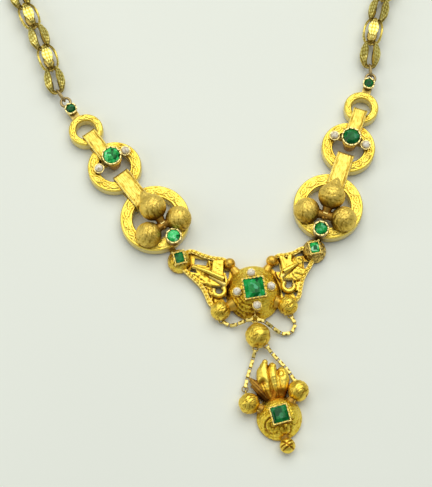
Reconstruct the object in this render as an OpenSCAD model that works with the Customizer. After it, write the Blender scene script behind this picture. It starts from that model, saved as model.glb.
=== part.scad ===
// Emerald necklace: a cast gold centre piece with a drop, three rings a side
// joined by straps, and a chain of open cage links, lying flat as a whole loop.
// Millimetres. +Z is up from the surface it lies on, +Y runs to the clasp.

/* [Centre piece] */
// Width of the centre dome across its base band
centre_dome_d = 13.2; // [12.6:0.1:13.8]
// Height of the centre dome
centre_dome_h = 6.3; // [6:0.1:6.6]
// Side of the square centre emerald
centre_stone_w = 4.7; // [4.2:0.1:5]
// Turn of the centre emerald and its four pearls
centre_turn = 9.5; // [0:0.5:15]
// Diameter of the centre pearls
centre_pearl_d = 1.9; // [1.6:0.1:2]
// Distance of the centre pearls from the middle
centre_pearl_reach = 4.2; // [4:0.1:4.5]
// Width of the small domes that end the centre piece
link_dome_d = 5.6; // [5.2:0.1:5.8]
// Diameter of the upper wing balls
upper_ball_d = 2.7; // [2.4:0.1:3]
// Diameter of the lower wing balls
lower_ball_d = 4.5; // [4.2:0.1:4.6]

/* [Rings] */
// Outer diameter of the small ring
small_ring_d = 8.8; // [8.6:0.1:9]
// Hole of the small ring
small_hole_d = 5.0; // [4.8:0.1:5.2]
// Outer diameter of the middle ring
middle_ring_d = 13.6; // [13.4:0.1:13.8]
// Hole of the middle ring
middle_hole_d = 8.0; // [7.8:0.1:8.2]
// Outer diameter of the large ring
large_ring_d = 17.4; // [17.2:0.1:17.6]
// Hole of the large ring
large_hole_d = 11.2; // [11:0.1:11.4]
// Thickness of the rings without their crown
ring_t = 2.4; // [2.2:0.1:2.5]
// Crown of a ring's top face
ring_crown = 0.25; // [0.1:0.05:0.3]
// Diameter of the two lower balls in the large ring
cluster_ball_d = 6.2; // [5.8:0.1:6.4]
// Diameter of the upper ball in the large ring
cluster_top_d = 6.4; // [6:0.1:6.5]

/* [Straps] */
// Width of the upper straps
upper_strap_w = 3.6; // [3.2:0.1:3.7]
// Length of the upper straps
upper_strap_l = 8.7; // [8.6:0.1:8.8]
// Width of the lower straps
lower_strap_w = 4.3; // [4:0.1:4.4]
// Length of the lower straps
lower_strap_l = 10.4; // [10.2:0.1:10.5]
// Thickness of the strap metal
strap_t = 0.45; // [0.4:0.05:0.5]

/* [Neck chain] */
// Length of one cage link
cage_l = 7.7; // [7.5:0.05:7.8]
// Width of one cage link
cage_w = 4.8; // [4.4:0.1:5]
// Widest part of a cage arm
cage_arm_w = 2.2; // [1.6:0.1:2.4]
// Thickness of a cage arm
cage_arm_t = 0.34; // [0.3:0.02:0.36]
// Number of links from end to end, the clasp taking the middle place
cage_places = 43; // [43]
// Diameter of the clasp barrel
clasp_d = 4.0; // [3.6:0.1:4.4]

/* [Fine chain] */
// Width of a fine chain link
fine_w = 1.1; // [1.05:0.05:1.2]
// Wire of a fine chain link
fine_wire = 0.17; // [0.16:0.01:0.2]
// Pitch of the long links
fine_long = 1.5; // [1.4:0.1:1.8]
// Pitch of the short links
fine_short = 0.95; // [0.85:0.05:1]

/* [Drop] */
// Diameter of the ball under the centre dome
swag_ball_d = 5.8; // [5.4:0.1:5.9]
// Width of the drop's dome
drop_dome_d = 10.6; // [10.2:0.1:11]
// Turn of the whole drop
drop_turn = 15; // [10:1:18]
// Diameter of the drop's side balls
drop_ball_d = 4.8; // [4.4:0.1:5]
// Diameter of the bead at the foot of the drop
foot_bead_d = 3.4; // [3:0.1:3.6]
// Side of the drop's square emerald
drop_stone_w = 3.8; // [3.4:0.1:4]

/* [Hidden] */

$fn = 48;
LEFT = 0;
RIGHT = 1;
gold = [0.87, 0.66, 0.20];
pale_gold = [0.84, 0.70, 0.35];
matt_gold = [0.70, 0.58, 0.26];
emerald = [0.02, 0.48, 0.24];
pearl = [0.93, 0.91, 0.84];

// Clearances
gap = 0.1;           // between neighbouring pieces
hook_room = 0.2;     // between a wire and the cage end that it holds
stone_gap = 0.06;    // round a stone or pearl in its seat
round_depth = 0.3;   // round stones below the girdle, in widths
culet = 0.12;        // foot of a stone, in widths
girdle = 0.05;       // girdle of a stone, in widths
ring_z = strap_t + gap;
ring_top = ring_z + ring_t;
strap_h = ring_top + ring_crown + gap + strap_t;

// Places on the surface, [left, right], with the centre dome's axis at 0, 0
small_place = [[-42.4, 43.2], [27.9, 49.4]];
middle_place = [[-34.9, 33.1], [24.3, 38.4]];
large_place = [[-24.5, 19.3], [18.8, 22.5]];
link_dome_place = [[-18.3, 8.55], [15.1, 11.2]];
upper_ball_place = [[-5.9, 7.6], [4.5, 8.3]];
lower_ball_place = [[-8.25, -4.6], [8.3, -3.25]];
leaf_base = [[-6.6, 1.8], [6.3, 3.6]];
leaf_tip = [[-15.2, 6.9], [11.9, 8.7]];
scroll_place = [[-8.5, 0.6], [8.6, 1.9]];
swag_ring_place = [0.2, -7.1, 3.5];
swag_ring_r = 0.85;
swag_ring_w = 0.36;
swag_ball_place = [0.9, -11.05, 2.95];
drop_place = [5.9, -31.0];

// Distances from ring middles
end_reach = 7.0;                 // small ring to the end emerald
upper_strap_from = [1.02, 0.6];  // small ring middle to the strap's near end
lower_strap_from = [2.4, 1.95];  // middle ring middle to the strap's near end

// Large ring: places of what it carries, [across, up the neck] from its middle
cluster_top = [[0.7, 1.7], [0.15, 1.75]];
cluster_right = [[4.3, -4.1], [4.7, -2.6]];
cluster_left = [[-4.1, -3.0], [-4.6, -3.4]];
cluster_joint = [[0.4, -3.0], [0, -3.0]];
cluster_z = ring_top + 1.35;
cluster_top_z = ring_top + 2.85;
large_stone_spot = [[0.5, -7.25], [0.2, -7.05]];
large_stone_d = 3.2;
large_stone_z = 5.2;             // girdle height

// Middle ring: crossbar with an emerald between two pearls
middle_stone_spot = [[0.7, 1.95], [0, 1.95]];
middle_bar_up = 1.45;
middle_pearl_across = [[-3.6, 4.5], [-4.2, 4.0]];
middle_stone_d = 4.2;
middle_stone_z = strap_h + 1.75;
middle_pearl_d = 2.0;
middle_pearl_z = 4.45;

// End emerald and the wire loop behind it
end_stone_d = 2.4;
end_stone_z = 3.3;
end_loop_r = 1.2;
end_loop_reach = [2.5, 1.75];
chain_z = (cage_w + cage_arm_w) / 2 * cos(45);
wire = 0.5;
jump_wire = 0.3;
jump_h = 1.9;

// Link domes
link_stone = [2.1, 2.6];
link_dome_z = 0.9;
link_stone_z = 4.0;
link_stone_turn = [15, 12];
hook_w = 1.6;
hook_h = 1.5;

// Centre dome
dome_band_h = 0.9;
centre_r = centre_dome_d / 2 - 0.25;
centre_stone_z = centre_dome_h + 0.35;
centre_pearl_z = 5.75;
pearl_seat_r = centre_pearl_d / 2 + 0.22;
strand_w = 1.0;
strand_z = 0.4;
strand_t = 1.7;
plate_t = 0.7;
ball_arm_w = 1.2;

// Wing strands from link dome to ball, rows of [x, y]
upper_strand = [
    [[-18.3, 9.6], [-15.6, 10.9], [-12.8, 9.9], [-10.2, 9.1], [-7.8, 8.8], [-5.9, 7.9]],
    [[15.1, 12.0], [12.0, 11.6], [10.1, 10.5], [7.9, 9.9], [6.1, 9.7], [4.5, 8.5]]];
lower_strand = [
    [[-18.6, 7.6], [-16.6, 5.6], [-14.8, 3.9], [-12.9, 1.9], [-11.7, -0.3], [-10.7, -2.6], [-8.7, -4.4]],
    [[15.3, 10.2], [14.1, 7.4], [13.0, 5.6], [12.1, 3.7], [11.5, 1.2], [11.0, -0.9], [8.8, -3.0]]];

// Windows through a wing, each a list of corners
wing_windows = [
    [[[-14.5, 9.4], [-11.4, 8.9], [-11.7, 7.5], [-14.6, 7.8]],
     [[-15.7, 6.5], [-14.3, 6.1], [-14.1, 5.2], [-15.6, 5.6]],
     [[-7.3, 6.2], [-5.9, 6.1], [-6.2, 4.2], [-7.1, 3.3]],
     [[-10.3, 1.7], [-7.3, 1.7], [-7.4, 0.6], [-8.5, 0.0], [-9.6, 0.4]],
     [[-7.8, -0.9], [-6.5, -0.6], [-6.8, -2.3]]],
    [[[4.6, 6.8], [6.4, 7.9], [6.6, 5.5], [5.6, 5.6]],
     [[7.3, 3.5], [9.6, 3.6], [9.5, 2.1], [8.6, 1.6], [7.5, 2.0]],
     [[6.7, 1.0], [7.9, 0.3], [7.4, -0.7]],
     [[9.7, 0.4], [10.8, 0.6], [10.5, -1.0]],
     [[12.5, 8.5], [13.8, 8.4], [13.2, 6.7], [12.6, 6.8]],
     [[10.2, 10.2], [12.2, 11.0], [12.3, 10.1], [10.6, 9.5]]]];

// Drop, places in its own turned frame
drop_r = drop_dome_d / 2 - 0.2;
drop_dome_h = 5.1;
drop_ball_spot = [6.1, 5.0];
drop_ball_z = drop_ball_d / 2;
foot_bead_y = -7.1;
drop_stone_z = drop_dome_h + 0.25;
// Palmette lobes: [angle from its stem, length, root radius, tip radius]
lobes = [[28, 7.6, 0.8, 0.35], [1, 9.3, 0.9, 0.95], [-14, 8.6, 0.7, 0.65], [-36, 8.2, 0.9, 1.15]];
palmette_foot = [-0.6, 4.2];
palmette_z = 1.7;

// Small soldered eyes, [left, right], and the ring on the drop's left ball
eye_r = 0.6;
eye_w = 0.35;
upright_r = 0.55;
upright_reach = swag_ring_r + 0.1;
ball_eye_place = [[-7.9, -6.75, 0.9], [8.95, -5.4, 0.9]];
swag_eye_place = [[0.3, -14.1, 1.7], [2.95, -13.3, 1.7]];
drop_eye_spot = [6.25, 7.45, 0.9];
drop_hook_spot = [-6.1, 8.2, 1.2];
drop_ring_r = 0.7;
drop_ring_w = 0.3;
drop_ring_spot = [-6.1, 8.92, 1.2];

// Fine chain routes from eye to eye, rows of [x, y, z]
hook_gap = 0.02;
function on_drop(spot) = lifted(drop_place + turned(spot, drop_turn), spot[2]);
swag_route = [
    [ball_eye_place[LEFT], [-6.5, -7.7, 0.8], [-5.0, -8.0, 1.2], [-3.2, -7.6, 2.2], [-1.5, -7.15, 3.2],
     swag_ring_place],
    [ball_eye_place[RIGHT], [9.9, -6.9, 0.85], [9.9, -8.7, 0.8], [8.6, -9.9, 0.8], [7.0, -10.0, 0.8],
     [5.4, -9.2, 1.2], [3.8, -8.2, 2.2], [2.2, -7.4, 3.1], swag_ring_place]];
drop_route = [
    [swag_eye_place[LEFT], [-0.3, -16.5, 1.3], [-1.6, -20.8, 1.2], on_drop(drop_ring_spot)],
    [swag_eye_place[RIGHT], [4.6, -15.4, 1.3], [7.9, -19.0, 1.0], on_drop(drop_eye_spot)]];

// Neck chain route, rows of [x, y], from the left end round the back to the right end
neck_route = [
    [-50.9, 57.3], [-53, 64], [-56.2, 71.5], [-60, 79.5], [-64.5, 90], [-68.5, 102], [-70.5, 115],
    [-69.5, 129], [-64, 142], [-54, 152], [-41, 158.5], [-26, 161.5], [-11, 161.5], [4, 158.5],
    [18, 152], [29, 142.5], [37, 130.5], [40.9, 117], [40.6, 103], [37.8, 90.5], [34.4, 80.5],
    [31.9, 72.5], [30.7, 64.6]];

// The loop is centred on the origin by the ends of its longest runs
neck_mid = floor(cage_places / 2);
origin_shift = [14.75, -62.35, 0];

// Smooth curve through a route's points
function curve(a, b, c, d, t) =
    0.5 * (2 * b + (c - a) * t + (2 * a - 5 * b + 4 * c - d) * t * t + (3 * b - a - 3 * c + d) * t * t * t);
function smooth(route, steps = 12) = let (n = len(route)) concat(
    [for (i = [0 : n - 2]) for (k = [0 : steps - 1])
        curve(i == 0 ? 2 * route[0] - route[1] : route[i - 1], route[i], route[i + 1],
              i + 2 < n ? route[i + 2] : 2 * route[n - 1] - route[n - 2], k / steps)],
    [route[n - 1]]);
function lengths(points) = [for (i = 0, s = 0; i < len(points);
    s = s + (i + 1 < len(points) ? norm(points[i + 1] - points[i]) : 0), i = i + 1) s];
function along(points, runs, s) =
    [for (axis = [0 : len(points[0]) - 1])
        lookup(s, [for (i = [0 : len(points) - 1]) [runs[i], points[i][axis]]])];
function reversed(list) = [for (i = [len(list) - 1 : -1 : 0]) list[i]];
function heading(from, to) = atan2(to[1] - from[1], to[0] - from[0]);
function turned(spot, angle) =
    [spot[0] * cos(angle) - spot[1] * sin(angle), spot[0] * sin(angle) + spot[1] * cos(angle)];
function lifted(spot, z) = [spot[0], spot[1], z];

neck_curve = smooth(neck_route);
neck_runs = lengths(neck_curve);
neck_pitch = neck_runs[len(neck_runs) - 1] / (cage_places - 1);
neck_places = [for (i = [0 : cage_places - 1]) along(neck_curve, neck_runs, i * neck_pitch)];
// An end link turns as far from its joint as its neighbour does
function neck_heading(i) =
    i == 0 ? 2 * heading(neck_places[0], neck_places[1]) - neck_heading(1) :
    i == cage_places - 1 ? 2 * heading(neck_places[i - 1], neck_places[i]) - neck_heading(i - 1) :
    heading(neck_places[i - 1], neck_places[i + 1]);
neck_headings = [for (i = [0 : cage_places - 1]) neck_heading(i)];

// Ring frames: +Y points up the neck
function up_turn(side, ring) =
    ring == "small" ? heading(middle_place[side], small_place[side]) - 90 :
    ring == "middle" ? heading(middle_place[side], small_place[side]) - 90 :
    heading(large_place[side], middle_place[side]) - 90;
end_turn = [34.7, -17.6];
function end_place(side) = small_place[side] + turned([0, end_reach], end_turn[side]);

// Ball whose seam and poles keep clear of what it is soldered to
module ball(d) rotate([90, 0, 0]) sphere(d = d);

module placed() translate(origin_shift) children();
module at(spot, angle = 0) translate([spot[0], spot[1], 0]) rotate([0, 0, angle]) children();

// Torus with its axis along Z
module wire_ring(r, w) rotate_extrude() translate([r, 0]) circle(d = w, $fn = 24);

// Long wire ring: straight sides along Y, length and height between wire middles, in the YZ plane
module long_ring(length, height, w) {
    r = height / 2;
    side = length / 2 - r;
    for (end = [-1, 1]) translate([0, end * side, 0]) rotate([90, 0, 90]) rotate([0, 0, end > 0 ? -90 : 90])
        rotate_extrude(angle = 180) translate([r, 0]) circle(d = w, $fn = 24);
    for (z = [-1, 1]) translate([0, 0, z * r]) rotate([90, 0, 0])
        cylinder(d = w, h = 2 * side + 0.01, center = true, $fn = 24);
}

// Flat ring with a crowned top face
module crowned_ring(outer_d, hole_d) {
    steps = 8;
    width = (outer_d - hole_d) / 2;
    chamfer = 0.2;
    top = [for (i = [0 : steps]) let (t = i / steps)
        [outer_d / 2 - chamfer - t * (width - 2 * chamfer), ring_top + ring_crown * (1 - pow(2 * t - 1, 2))]];
    rotate_extrude($fn = 96) polygon(concat(
        [[hole_d / 2, ring_top - chamfer], [hole_d / 2, ring_z], [outer_d / 2, ring_z],
         [outer_d / 2, ring_top - chamfer]], top));
}

// Closed band round two ring rims, from y = 0 to its length
module strap(width, length) {
    steps = 5;
    function rounded(l, h, inset, r) = [for (corner = [0 : 3]) for (i = [0 : steps])
        let (a = corner * 90 + i * 90 / steps,
             cx = corner == 0 || corner == 3 ? l - inset - r : inset + r,
             cz = corner < 2 ? h - inset - r : inset + r)
        [cx + r * cos(a), cz + r * sin(a)]];
    rotate([90, 0, 90]) translate([0, 0, -width / 2]) linear_extrude(width) difference() {
        polygon(rounded(length, strap_h, 0, 0.8));
        polygon(rounded(length, strap_h, strap_t, 0.35));
    }
}

// Cut stone of stacked outlines, girdle at z = 0: table, crown facets, girdle and pavilion
module cut_stone(size, sides, table = 0.6, crown = 0.16, depth = round_depth, corner = 0) {
    w = size[0];
    // An outline at a given share of the full size
    function outline(share) = corner > 0
        ? [for (i = [0 : 7]) let (c = corner * w, x = size[0] / 2, y = size[1] / 2,
              p = [[x, y - c], [x - c, y], [c - x, y], [-x, y - c], [-x, c - y], [c - x, -y], [x - c, -y],
                   [x, c - y]][i]) p * share]
        : [for (i = [0 : sides - 1]) let (a = (i + 0.5) * 360 / sides) w / 2 * share * [cos(a), sin(a)]];
    // Rows of [share of the width, height in widths]
    levels = [[culet, -depth], [0.55, -depth * 0.55], [1, -girdle], [1, 0.02],
              [(1 + table) / 2, crown * 0.65], [table, crown]];
    n = corner > 0 ? 8 : sides;
    points = [for (level = levels) for (p = outline(level[0])) [p[0], p[1], level[1] * w]];
    last = (len(levels) - 1) * n;
    faces = concat(
        [[for (i = [0 : n - 1]) i]],
        [for (k = [0 : len(levels) - 2]) for (i = [0 : n - 1])
            [k * n + i, (k + 1) * n + i, (k + 1) * n + (i + 1) % n, k * n + (i + 1) % n]],
        [[for (i = [n - 1 : -1 : 0]) last + i]]);
    polyhedron(points, faces);
}

// Round collet from z = foot to just over the girdle, hollowed to the stone's own cone
module round_collet(stone_d, girdle_z, foot, foot_d, claws) {
    well_r = stone_d / 2 + stone_gap;
    outer_r = well_r + 0.25;
    rim = girdle_z + 0.12;
    seat_z = girdle_z - girdle * stone_d - stone_gap;
    floor_z = girdle_z - round_depth * stone_d - stone_gap;
    rotate_extrude() polygon([
        [0, foot], [foot_d / 2, foot], [outer_r, seat_z - 0.3], [outer_r, rim], [well_r, rim],
        [well_r, seat_z], [culet * stone_d / 2 + stone_gap, floor_z], [0, floor_z]]);
    for (i = [0 : claws - 1]) rotate([0, 0, (i + 0.5) * 360 / claws])
        translate([well_r + 0.17, 0, girdle_z - 0.5]) cylinder(d = 0.34, h = 0.8, $fn = 12);
}

// Square collet on a dome, with a well for the stone and claws round its rim
module square_collet(w, girdle_z, foot, claws) {
    well = w + 2 * stone_gap;
    wall = 0.28;
    outer = well + 2 * wall;
    rim = girdle_z + 0.1;
    difference() {
        translate([-outer / 2, -outer / 2, foot]) cube([outer, outer, rim - foot]);
        translate([-well / 2, -well / 2, girdle_z - 0.62 * w]) cube([well, well, w * 2]);
    }
    for (turn = [0 : 90 : 270]) rotate([0, 0, turn]) for (i = [0 : claws - 1])
        translate([(i + 0.5 - claws / 2) * outer / (claws + 0.5), well / 2 + wall / 2, girdle_z - 0.5])
            cylinder(d = 0.36, h = 0.78, $fn = 12);
}

// Small eye lying flat, its middle at the given place
module flat_eye(spot) translate(spot) wire_ring(eye_r, eye_w);

// Small eye standing along Y
module upright_eye(spot) translate(spot) rotate([0, 90, 0]) wire_ring(upright_r, eye_w);

// Curved strip of even width along a list of points
function stroke(points, width) = let (n = len(points),
    normals = [for (i = [0 : n - 1]) let (a = heading(points[max(i - 1, 0)], points[min(i + 1, n - 1)]) + 90)
        width / 2 * [cos(a), sin(a)]])
    concat([for (i = [0 : n - 1]) points[i] + normals[i]],
           [for (i = [n - 1 : -1 : 0]) points[i] - normals[i]]);

// Leaf of a wing: a toothed plate with a roof-shaped rise and a round midrib
module wing_leaf(side) {
    from = leaf_base[side];
    to = leaf_tip[side];
    length = norm(to - from);
    half = side == LEFT ? 2.5 : 2.9;
    eave = 1.6 * half;
    steps = 10;
    teeth = 0.35;
    function edge(t) = half * sin(180 * pow(t, 0.75)) * (1 - 0.35 * t) + teeth * abs(sin(540 * t)) + 0.25;
    outline = concat([for (i = [0 : steps]) [length * i / steps, edge(i / steps)]],
                     [for (i = [steps : -1 : 0]) [length * i / steps, -edge(i / steps)]]);
    at(from, heading(from, to)) {
        intersection() {
            translate([0, 0, strand_z]) linear_extrude(3) polygon(outline);
            rotate([90, 0, 90]) linear_extrude(length)
                polygon([[-eave, strand_z], [eave, strand_z], [eave, 1.3], [0, 2.4], [-eave, 1.3]]);
        }
        translate([0.4, 0, 2.2]) rotate([0, 94, 0])
            cylinder(r1 = 0.75, r2 = 0.35, h = length - 0.6, $fn = 24);
    }
}

// C-shaped scroll of round wire with a bead at either end
module scroll(side) {
    r = 1.35;
    at(scroll_place[side]) mirror([side == LEFT ? 0 : 1, 0, 0]) {
        translate([0, 0, 1.75]) rotate([0, 0, 170]) rotate_extrude(angle = 220) translate([r, 0])
            circle(d = 1.1, $fn = 24);
        // Rows of [angle, height, diameter]
        for (bead = [[30, 1.9, 1.5], [170, 1.8, 1.3]])
            translate([r * cos(bead[0]), r * sin(bead[0]), bead[1]]) sphere(d = bead[2]);
    }
}

// Filled part of a wing, from its strands in to the dome
module wing_plate(side) {
    hand = side == LEFT ? -1 : 1;
    translate([0, 0, strand_z]) linear_extrude(plate_t)
        polygon(concat(smooth(upper_strand[side], 4), [[hand * 3, 5], [hand * 4, -3]],
                       reversed(smooth(lower_strand[side], 4))));
}

module wing(side) {
    for (strand = [upper_strand[side], lower_strand[side]])
        translate([0, 0, strand_z]) linear_extrude(strand_t) polygon(stroke(smooth(strand, 4), strand_w));
    difference() {
        union() {
            wing_plate(side);
            wing_leaf(side);
        }
        for (window = wing_windows[side]) linear_extrude(centre_dome_h) polygon(window);
    }
    scroll(side);
    translate(lifted(upper_ball_place[side], upper_ball_d / 2 + 0.7)) sphere(d = upper_ball_d);
    translate(lifted(lower_ball_place[side], lower_ball_d / 2 + 0.02)) sphere(d = lower_ball_d);
    // Arms that carry the balls from the dome, rows of [place, height of the arm's top]
    for (row = [[upper_ball_place[side], 1.9], [lower_ball_place[side], 2.5]])
        at([0, 0], heading([0, 0], row[0])) translate([centre_r - 1.2, -ball_arm_w / 2, strand_z])
            cube([norm(row[0]) - centre_r + 1.2, ball_arm_w, row[1] - strand_z]);
    link_dome(side);
}

// Small dome with its emerald's collet and the hook that goes under the large ring
module link_dome(side) {
    place = link_dome_place[side];
    r = link_dome_d / 2;
    reach = norm(large_place[side] - place) - large_hole_d / 2 + 0.17;
    well = link_stone + [1, 1] * 2 * stone_gap;
    outer = link_stone + [0.6, 0.6];
    at(place) {
        difference() {
            union() {
                intersection() {
                    translate([0, 0, link_dome_z]) sphere(r = r);
                    translate([-r, -r, 0]) cube([2 * r, 2 * r, 2 * r]);
                }
                rotate([0, 0, link_stone_turn[side]]) {
                    translate([-outer[0] / 2, -outer[1] / 2, 2.4])
                        cube([outer[0], outer[1], link_stone_z - 2.3]);
                    for (x = [-1, 1]) for (y = [-1, 1])
                        translate([x * outer[0] / 2, y * outer[1] / 2, link_stone_z - 1]) rotate([0, 0, 45])
                            translate([-0.2, -0.2, 0]) cube([0.4, 0.4, 1.18]);
                }
            }
            rotate([0, 0, link_stone_turn[side]]) translate([-well[0] / 2, -well[1] / 2, link_stone_z - 1.2])
                cube([well[0], well[1], 3]);
        }
        rotate([0, 0, heading(place, large_place[side])]) {
            translate([1, -hook_w / 2, 0]) cube([reach - 1 + strap_t, hook_w, strap_t]);
            translate([reach, -hook_w / 2, 0]) cube([strap_t, hook_w, hook_h]);
        }
    }
}

// Claw-held pearl seat on the centre dome
module centre_pearl_seats() for (i = [0 : 3]) rotate([0, 0, centre_turn + 90 * i])
    translate([centre_pearl_reach, 0, 3.4]) cylinder(r = pearl_seat_r, h = centre_pearl_z - 3.5);

module centre_piece() color(gold) placed() {
    well = centre_stone_w + 2 * stone_gap;
    difference() {
        union() {
            cylinder(d = centre_dome_d, h = dome_band_h, $fn = 96);
            intersection() {
                translate([0, 0, centre_dome_h - centre_r]) sphere(r = centre_r, $fn = 96);
                translate([-10, -10, 0]) cube([20, 20, 10]);
            }
            centre_pearl_seats();
            rotate([0, 0, centre_turn]) square_collet(centre_stone_w, centre_stone_z, 4.5, 5);
        }
        rotate([0, 0, centre_turn]) {
            translate([-well / 2, -well / 2, centre_stone_z - 2.9]) cube([well, well, 6]);
            for (i = [0 : 3]) rotate([0, 0, 90 * i]) translate([centre_pearl_reach, 0, centre_pearl_z])
                sphere(d = centre_pearl_d + 2 * stone_gap);
        }
    }
    for (side = [LEFT, RIGHT]) wing(side);
    // Eyes for the swag ring and the two swag chains
    upright_eye(swag_ring_place + [0, upright_reach, 0]);
    translate([swag_ring_place[0], -5.5, swag_ring_place[2]]) rotate([-90, 0, 0])
        cylinder(d = 0.7, h = 0.9, $fn = 24);
    for (place = ball_eye_place) flat_eye(place);
}

module emerald_centre() color(emerald) placed() translate([0, 0, centre_stone_z]) rotate([0, 0, centre_turn])
    cut_stone([centre_stone_w, centre_stone_w], 8, 0.62, 0.12, 0.5, 0.05);

module centre_pearl(i) color(pearl) placed() rotate([0, 0, centre_turn + 90 * i])
    translate([centre_pearl_reach, 0, centre_pearl_z]) sphere(d = centre_pearl_d);

module emerald_link(side) color(emerald) placed() at(link_dome_place[side], link_stone_turn[side])
    translate([0, 0, link_stone_z]) cut_stone(link_stone, 8, 0.6, 0.16, 0.5, 0.2);

// Large ring with its three balls and its emerald's collet
module large_ring(side) color(matt_gold) placed() at(large_place[side], up_turn(side, "large")) {
    crowned_ring(large_ring_d, large_hole_d);
    for (row = [[cluster_right[side], cluster_ball_d, cluster_z],
                [cluster_left[side], cluster_ball_d, cluster_z],
                [cluster_top[side], cluster_top_d, cluster_top_z]]) {
        translate(lifted(row[0], row[2])) ball(row[1]);
        stem = row[0] - cluster_joint[side];
        at(cluster_joint[side], heading([0, 0], stem)) translate([0, -0.55, cluster_z - 1.7])
            cube([norm(stem) - 0.9, 1.1, row[2] - cluster_z + 1.2]);
    }
    translate(lifted(cluster_joint[side], cluster_z - 1.9)) cylinder(d = 1.9, h = 1.6, $fn = 24);
    // Peak of the upper ball, over the strap
    translate(lifted(cluster_top[side], cluster_top_z)) rotate([-78, 0, 0])
        translate([0, 0, cluster_top_d / 2 - 0.9]) cylinder(r1 = 1.7, r2 = 0.35, h = 2.0, $fn = 32);
    translate([large_stone_spot[side][0], large_stone_spot[side][1], 0])
        round_collet(large_stone_d, large_stone_z, ring_top - 0.6, 2.6, 8);
}

module emerald_large(side) color(emerald) placed() at(large_place[side], up_turn(side, "large"))
    translate(lifted(large_stone_spot[side], large_stone_z)) cut_stone([large_stone_d, large_stone_d], 8);

module lower_strap(side) color(gold) placed()
    at(middle_place[side], heading(middle_place[side], large_place[side]) - 90)
        translate([0, lower_strap_from[side], 0]) strap(lower_strap_w, lower_strap_l);

// Middle ring with its crossbar, emerald collet and two pearl cups
module middle_ring(side) color(gold) placed() at(middle_place[side], up_turn(side, "middle")) {
    bar_z = ring_top - 0.1;
    spot = middle_stone_spot[side];
    crowned_ring(middle_ring_d, middle_hole_d);
    translate([middle_pearl_across[side][0], middle_bar_up, bar_z]) rotate([0, 90, 0])
        cylinder(d = 0.85, h = middle_pearl_across[side][1] - middle_pearl_across[side][0], $fn = 24);
    translate([spot[0], middle_bar_up + 0.05, bar_z - 0.2]) cylinder(d = 0.8, h = 1.4, $fn = 24);
    translate([spot[0], spot[1], 0]) round_collet(middle_stone_d, middle_stone_z, strap_h + gap, 2.4, 8);
    for (x = middle_pearl_across[side]) translate([x, middle_bar_up, 0]) difference() {
        translate([0, 0, bar_z - 0.5])
            cylinder(d1 = 1.5, d2 = middle_pearl_d + 0.6, h = middle_pearl_z - bar_z + 0.35);
        translate([0, 0, middle_pearl_z]) sphere(d = middle_pearl_d + 2 * stone_gap);
    }
}

module emerald_middle(side) color(emerald) placed() at(middle_place[side], up_turn(side, "middle"))
    translate(lifted(middle_stone_spot[side], middle_stone_z)) cut_stone([middle_stone_d, middle_stone_d], 8);

module pearl_middle(side, which) color(pearl) placed() at(middle_place[side], up_turn(side, "middle"))
    translate([middle_pearl_across[side][which], middle_bar_up, middle_pearl_z]) sphere(d = middle_pearl_d);

module upper_strap(side) color(gold) placed()
    at(small_place[side], heading(small_place[side], middle_place[side]) - 90)
        translate([0, upper_strap_from[side], 0]) strap(upper_strap_w, upper_strap_l);

// Small ring with the end emerald's collet, its neck and the wire loop for the chain
module small_ring(side) color(pale_gold) placed() {
    loop = end_place(side) + turned([0, end_loop_reach[side]], end_turn[side]);
    at(small_place[side], end_turn[side]) {
        crowned_ring(small_ring_d, small_hole_d);
        translate([-1.1, small_ring_d / 2 - 0.6, ring_z])
            cube([2.2, end_reach - small_ring_d / 2 + 0.3, 1.7]);
        translate([0, end_reach, 0]) round_collet(end_stone_d, end_stone_z, ring_z, 2.3, 6);
    }
    difference() {
        translate(lifted(loop, chain_z)) wire_ring(end_loop_r, wire);
        at(end_place(side)) translate([0, 0, chain_z - 1]) cylinder(d = end_stone_d, h = 2);
    }
}

module emerald_end(side) color(emerald) placed() at(small_place[side], end_turn[side])
    translate([0, end_reach, end_stone_z]) cut_stone([end_stone_d, end_stone_d], 8);

// Jump ring between the wire loop and the first cage link of its side
module jump_ring(side) color(pale_gold) placed() {
    index = side == LEFT ? 0 : cage_places - 1;
    out = neck_headings[index] + (side == LEFT ? 180 : 0);
    pole = neck_places[index] + turned([cage_l / 2 - cage_arm_t - hook_room - jump_wire / 2, 0], out);
    held = end_loop_reach[side] + end_loop_r - wire / 2 - gap - jump_wire / 2;
    near = end_place(side) + turned([0, held], end_turn[side]);
    at((pole + near) / 2, heading(near, pole) - 90) translate([0, 0, chain_z])
        long_ring(norm(pole - near), jump_h, jump_wire);
}

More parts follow.
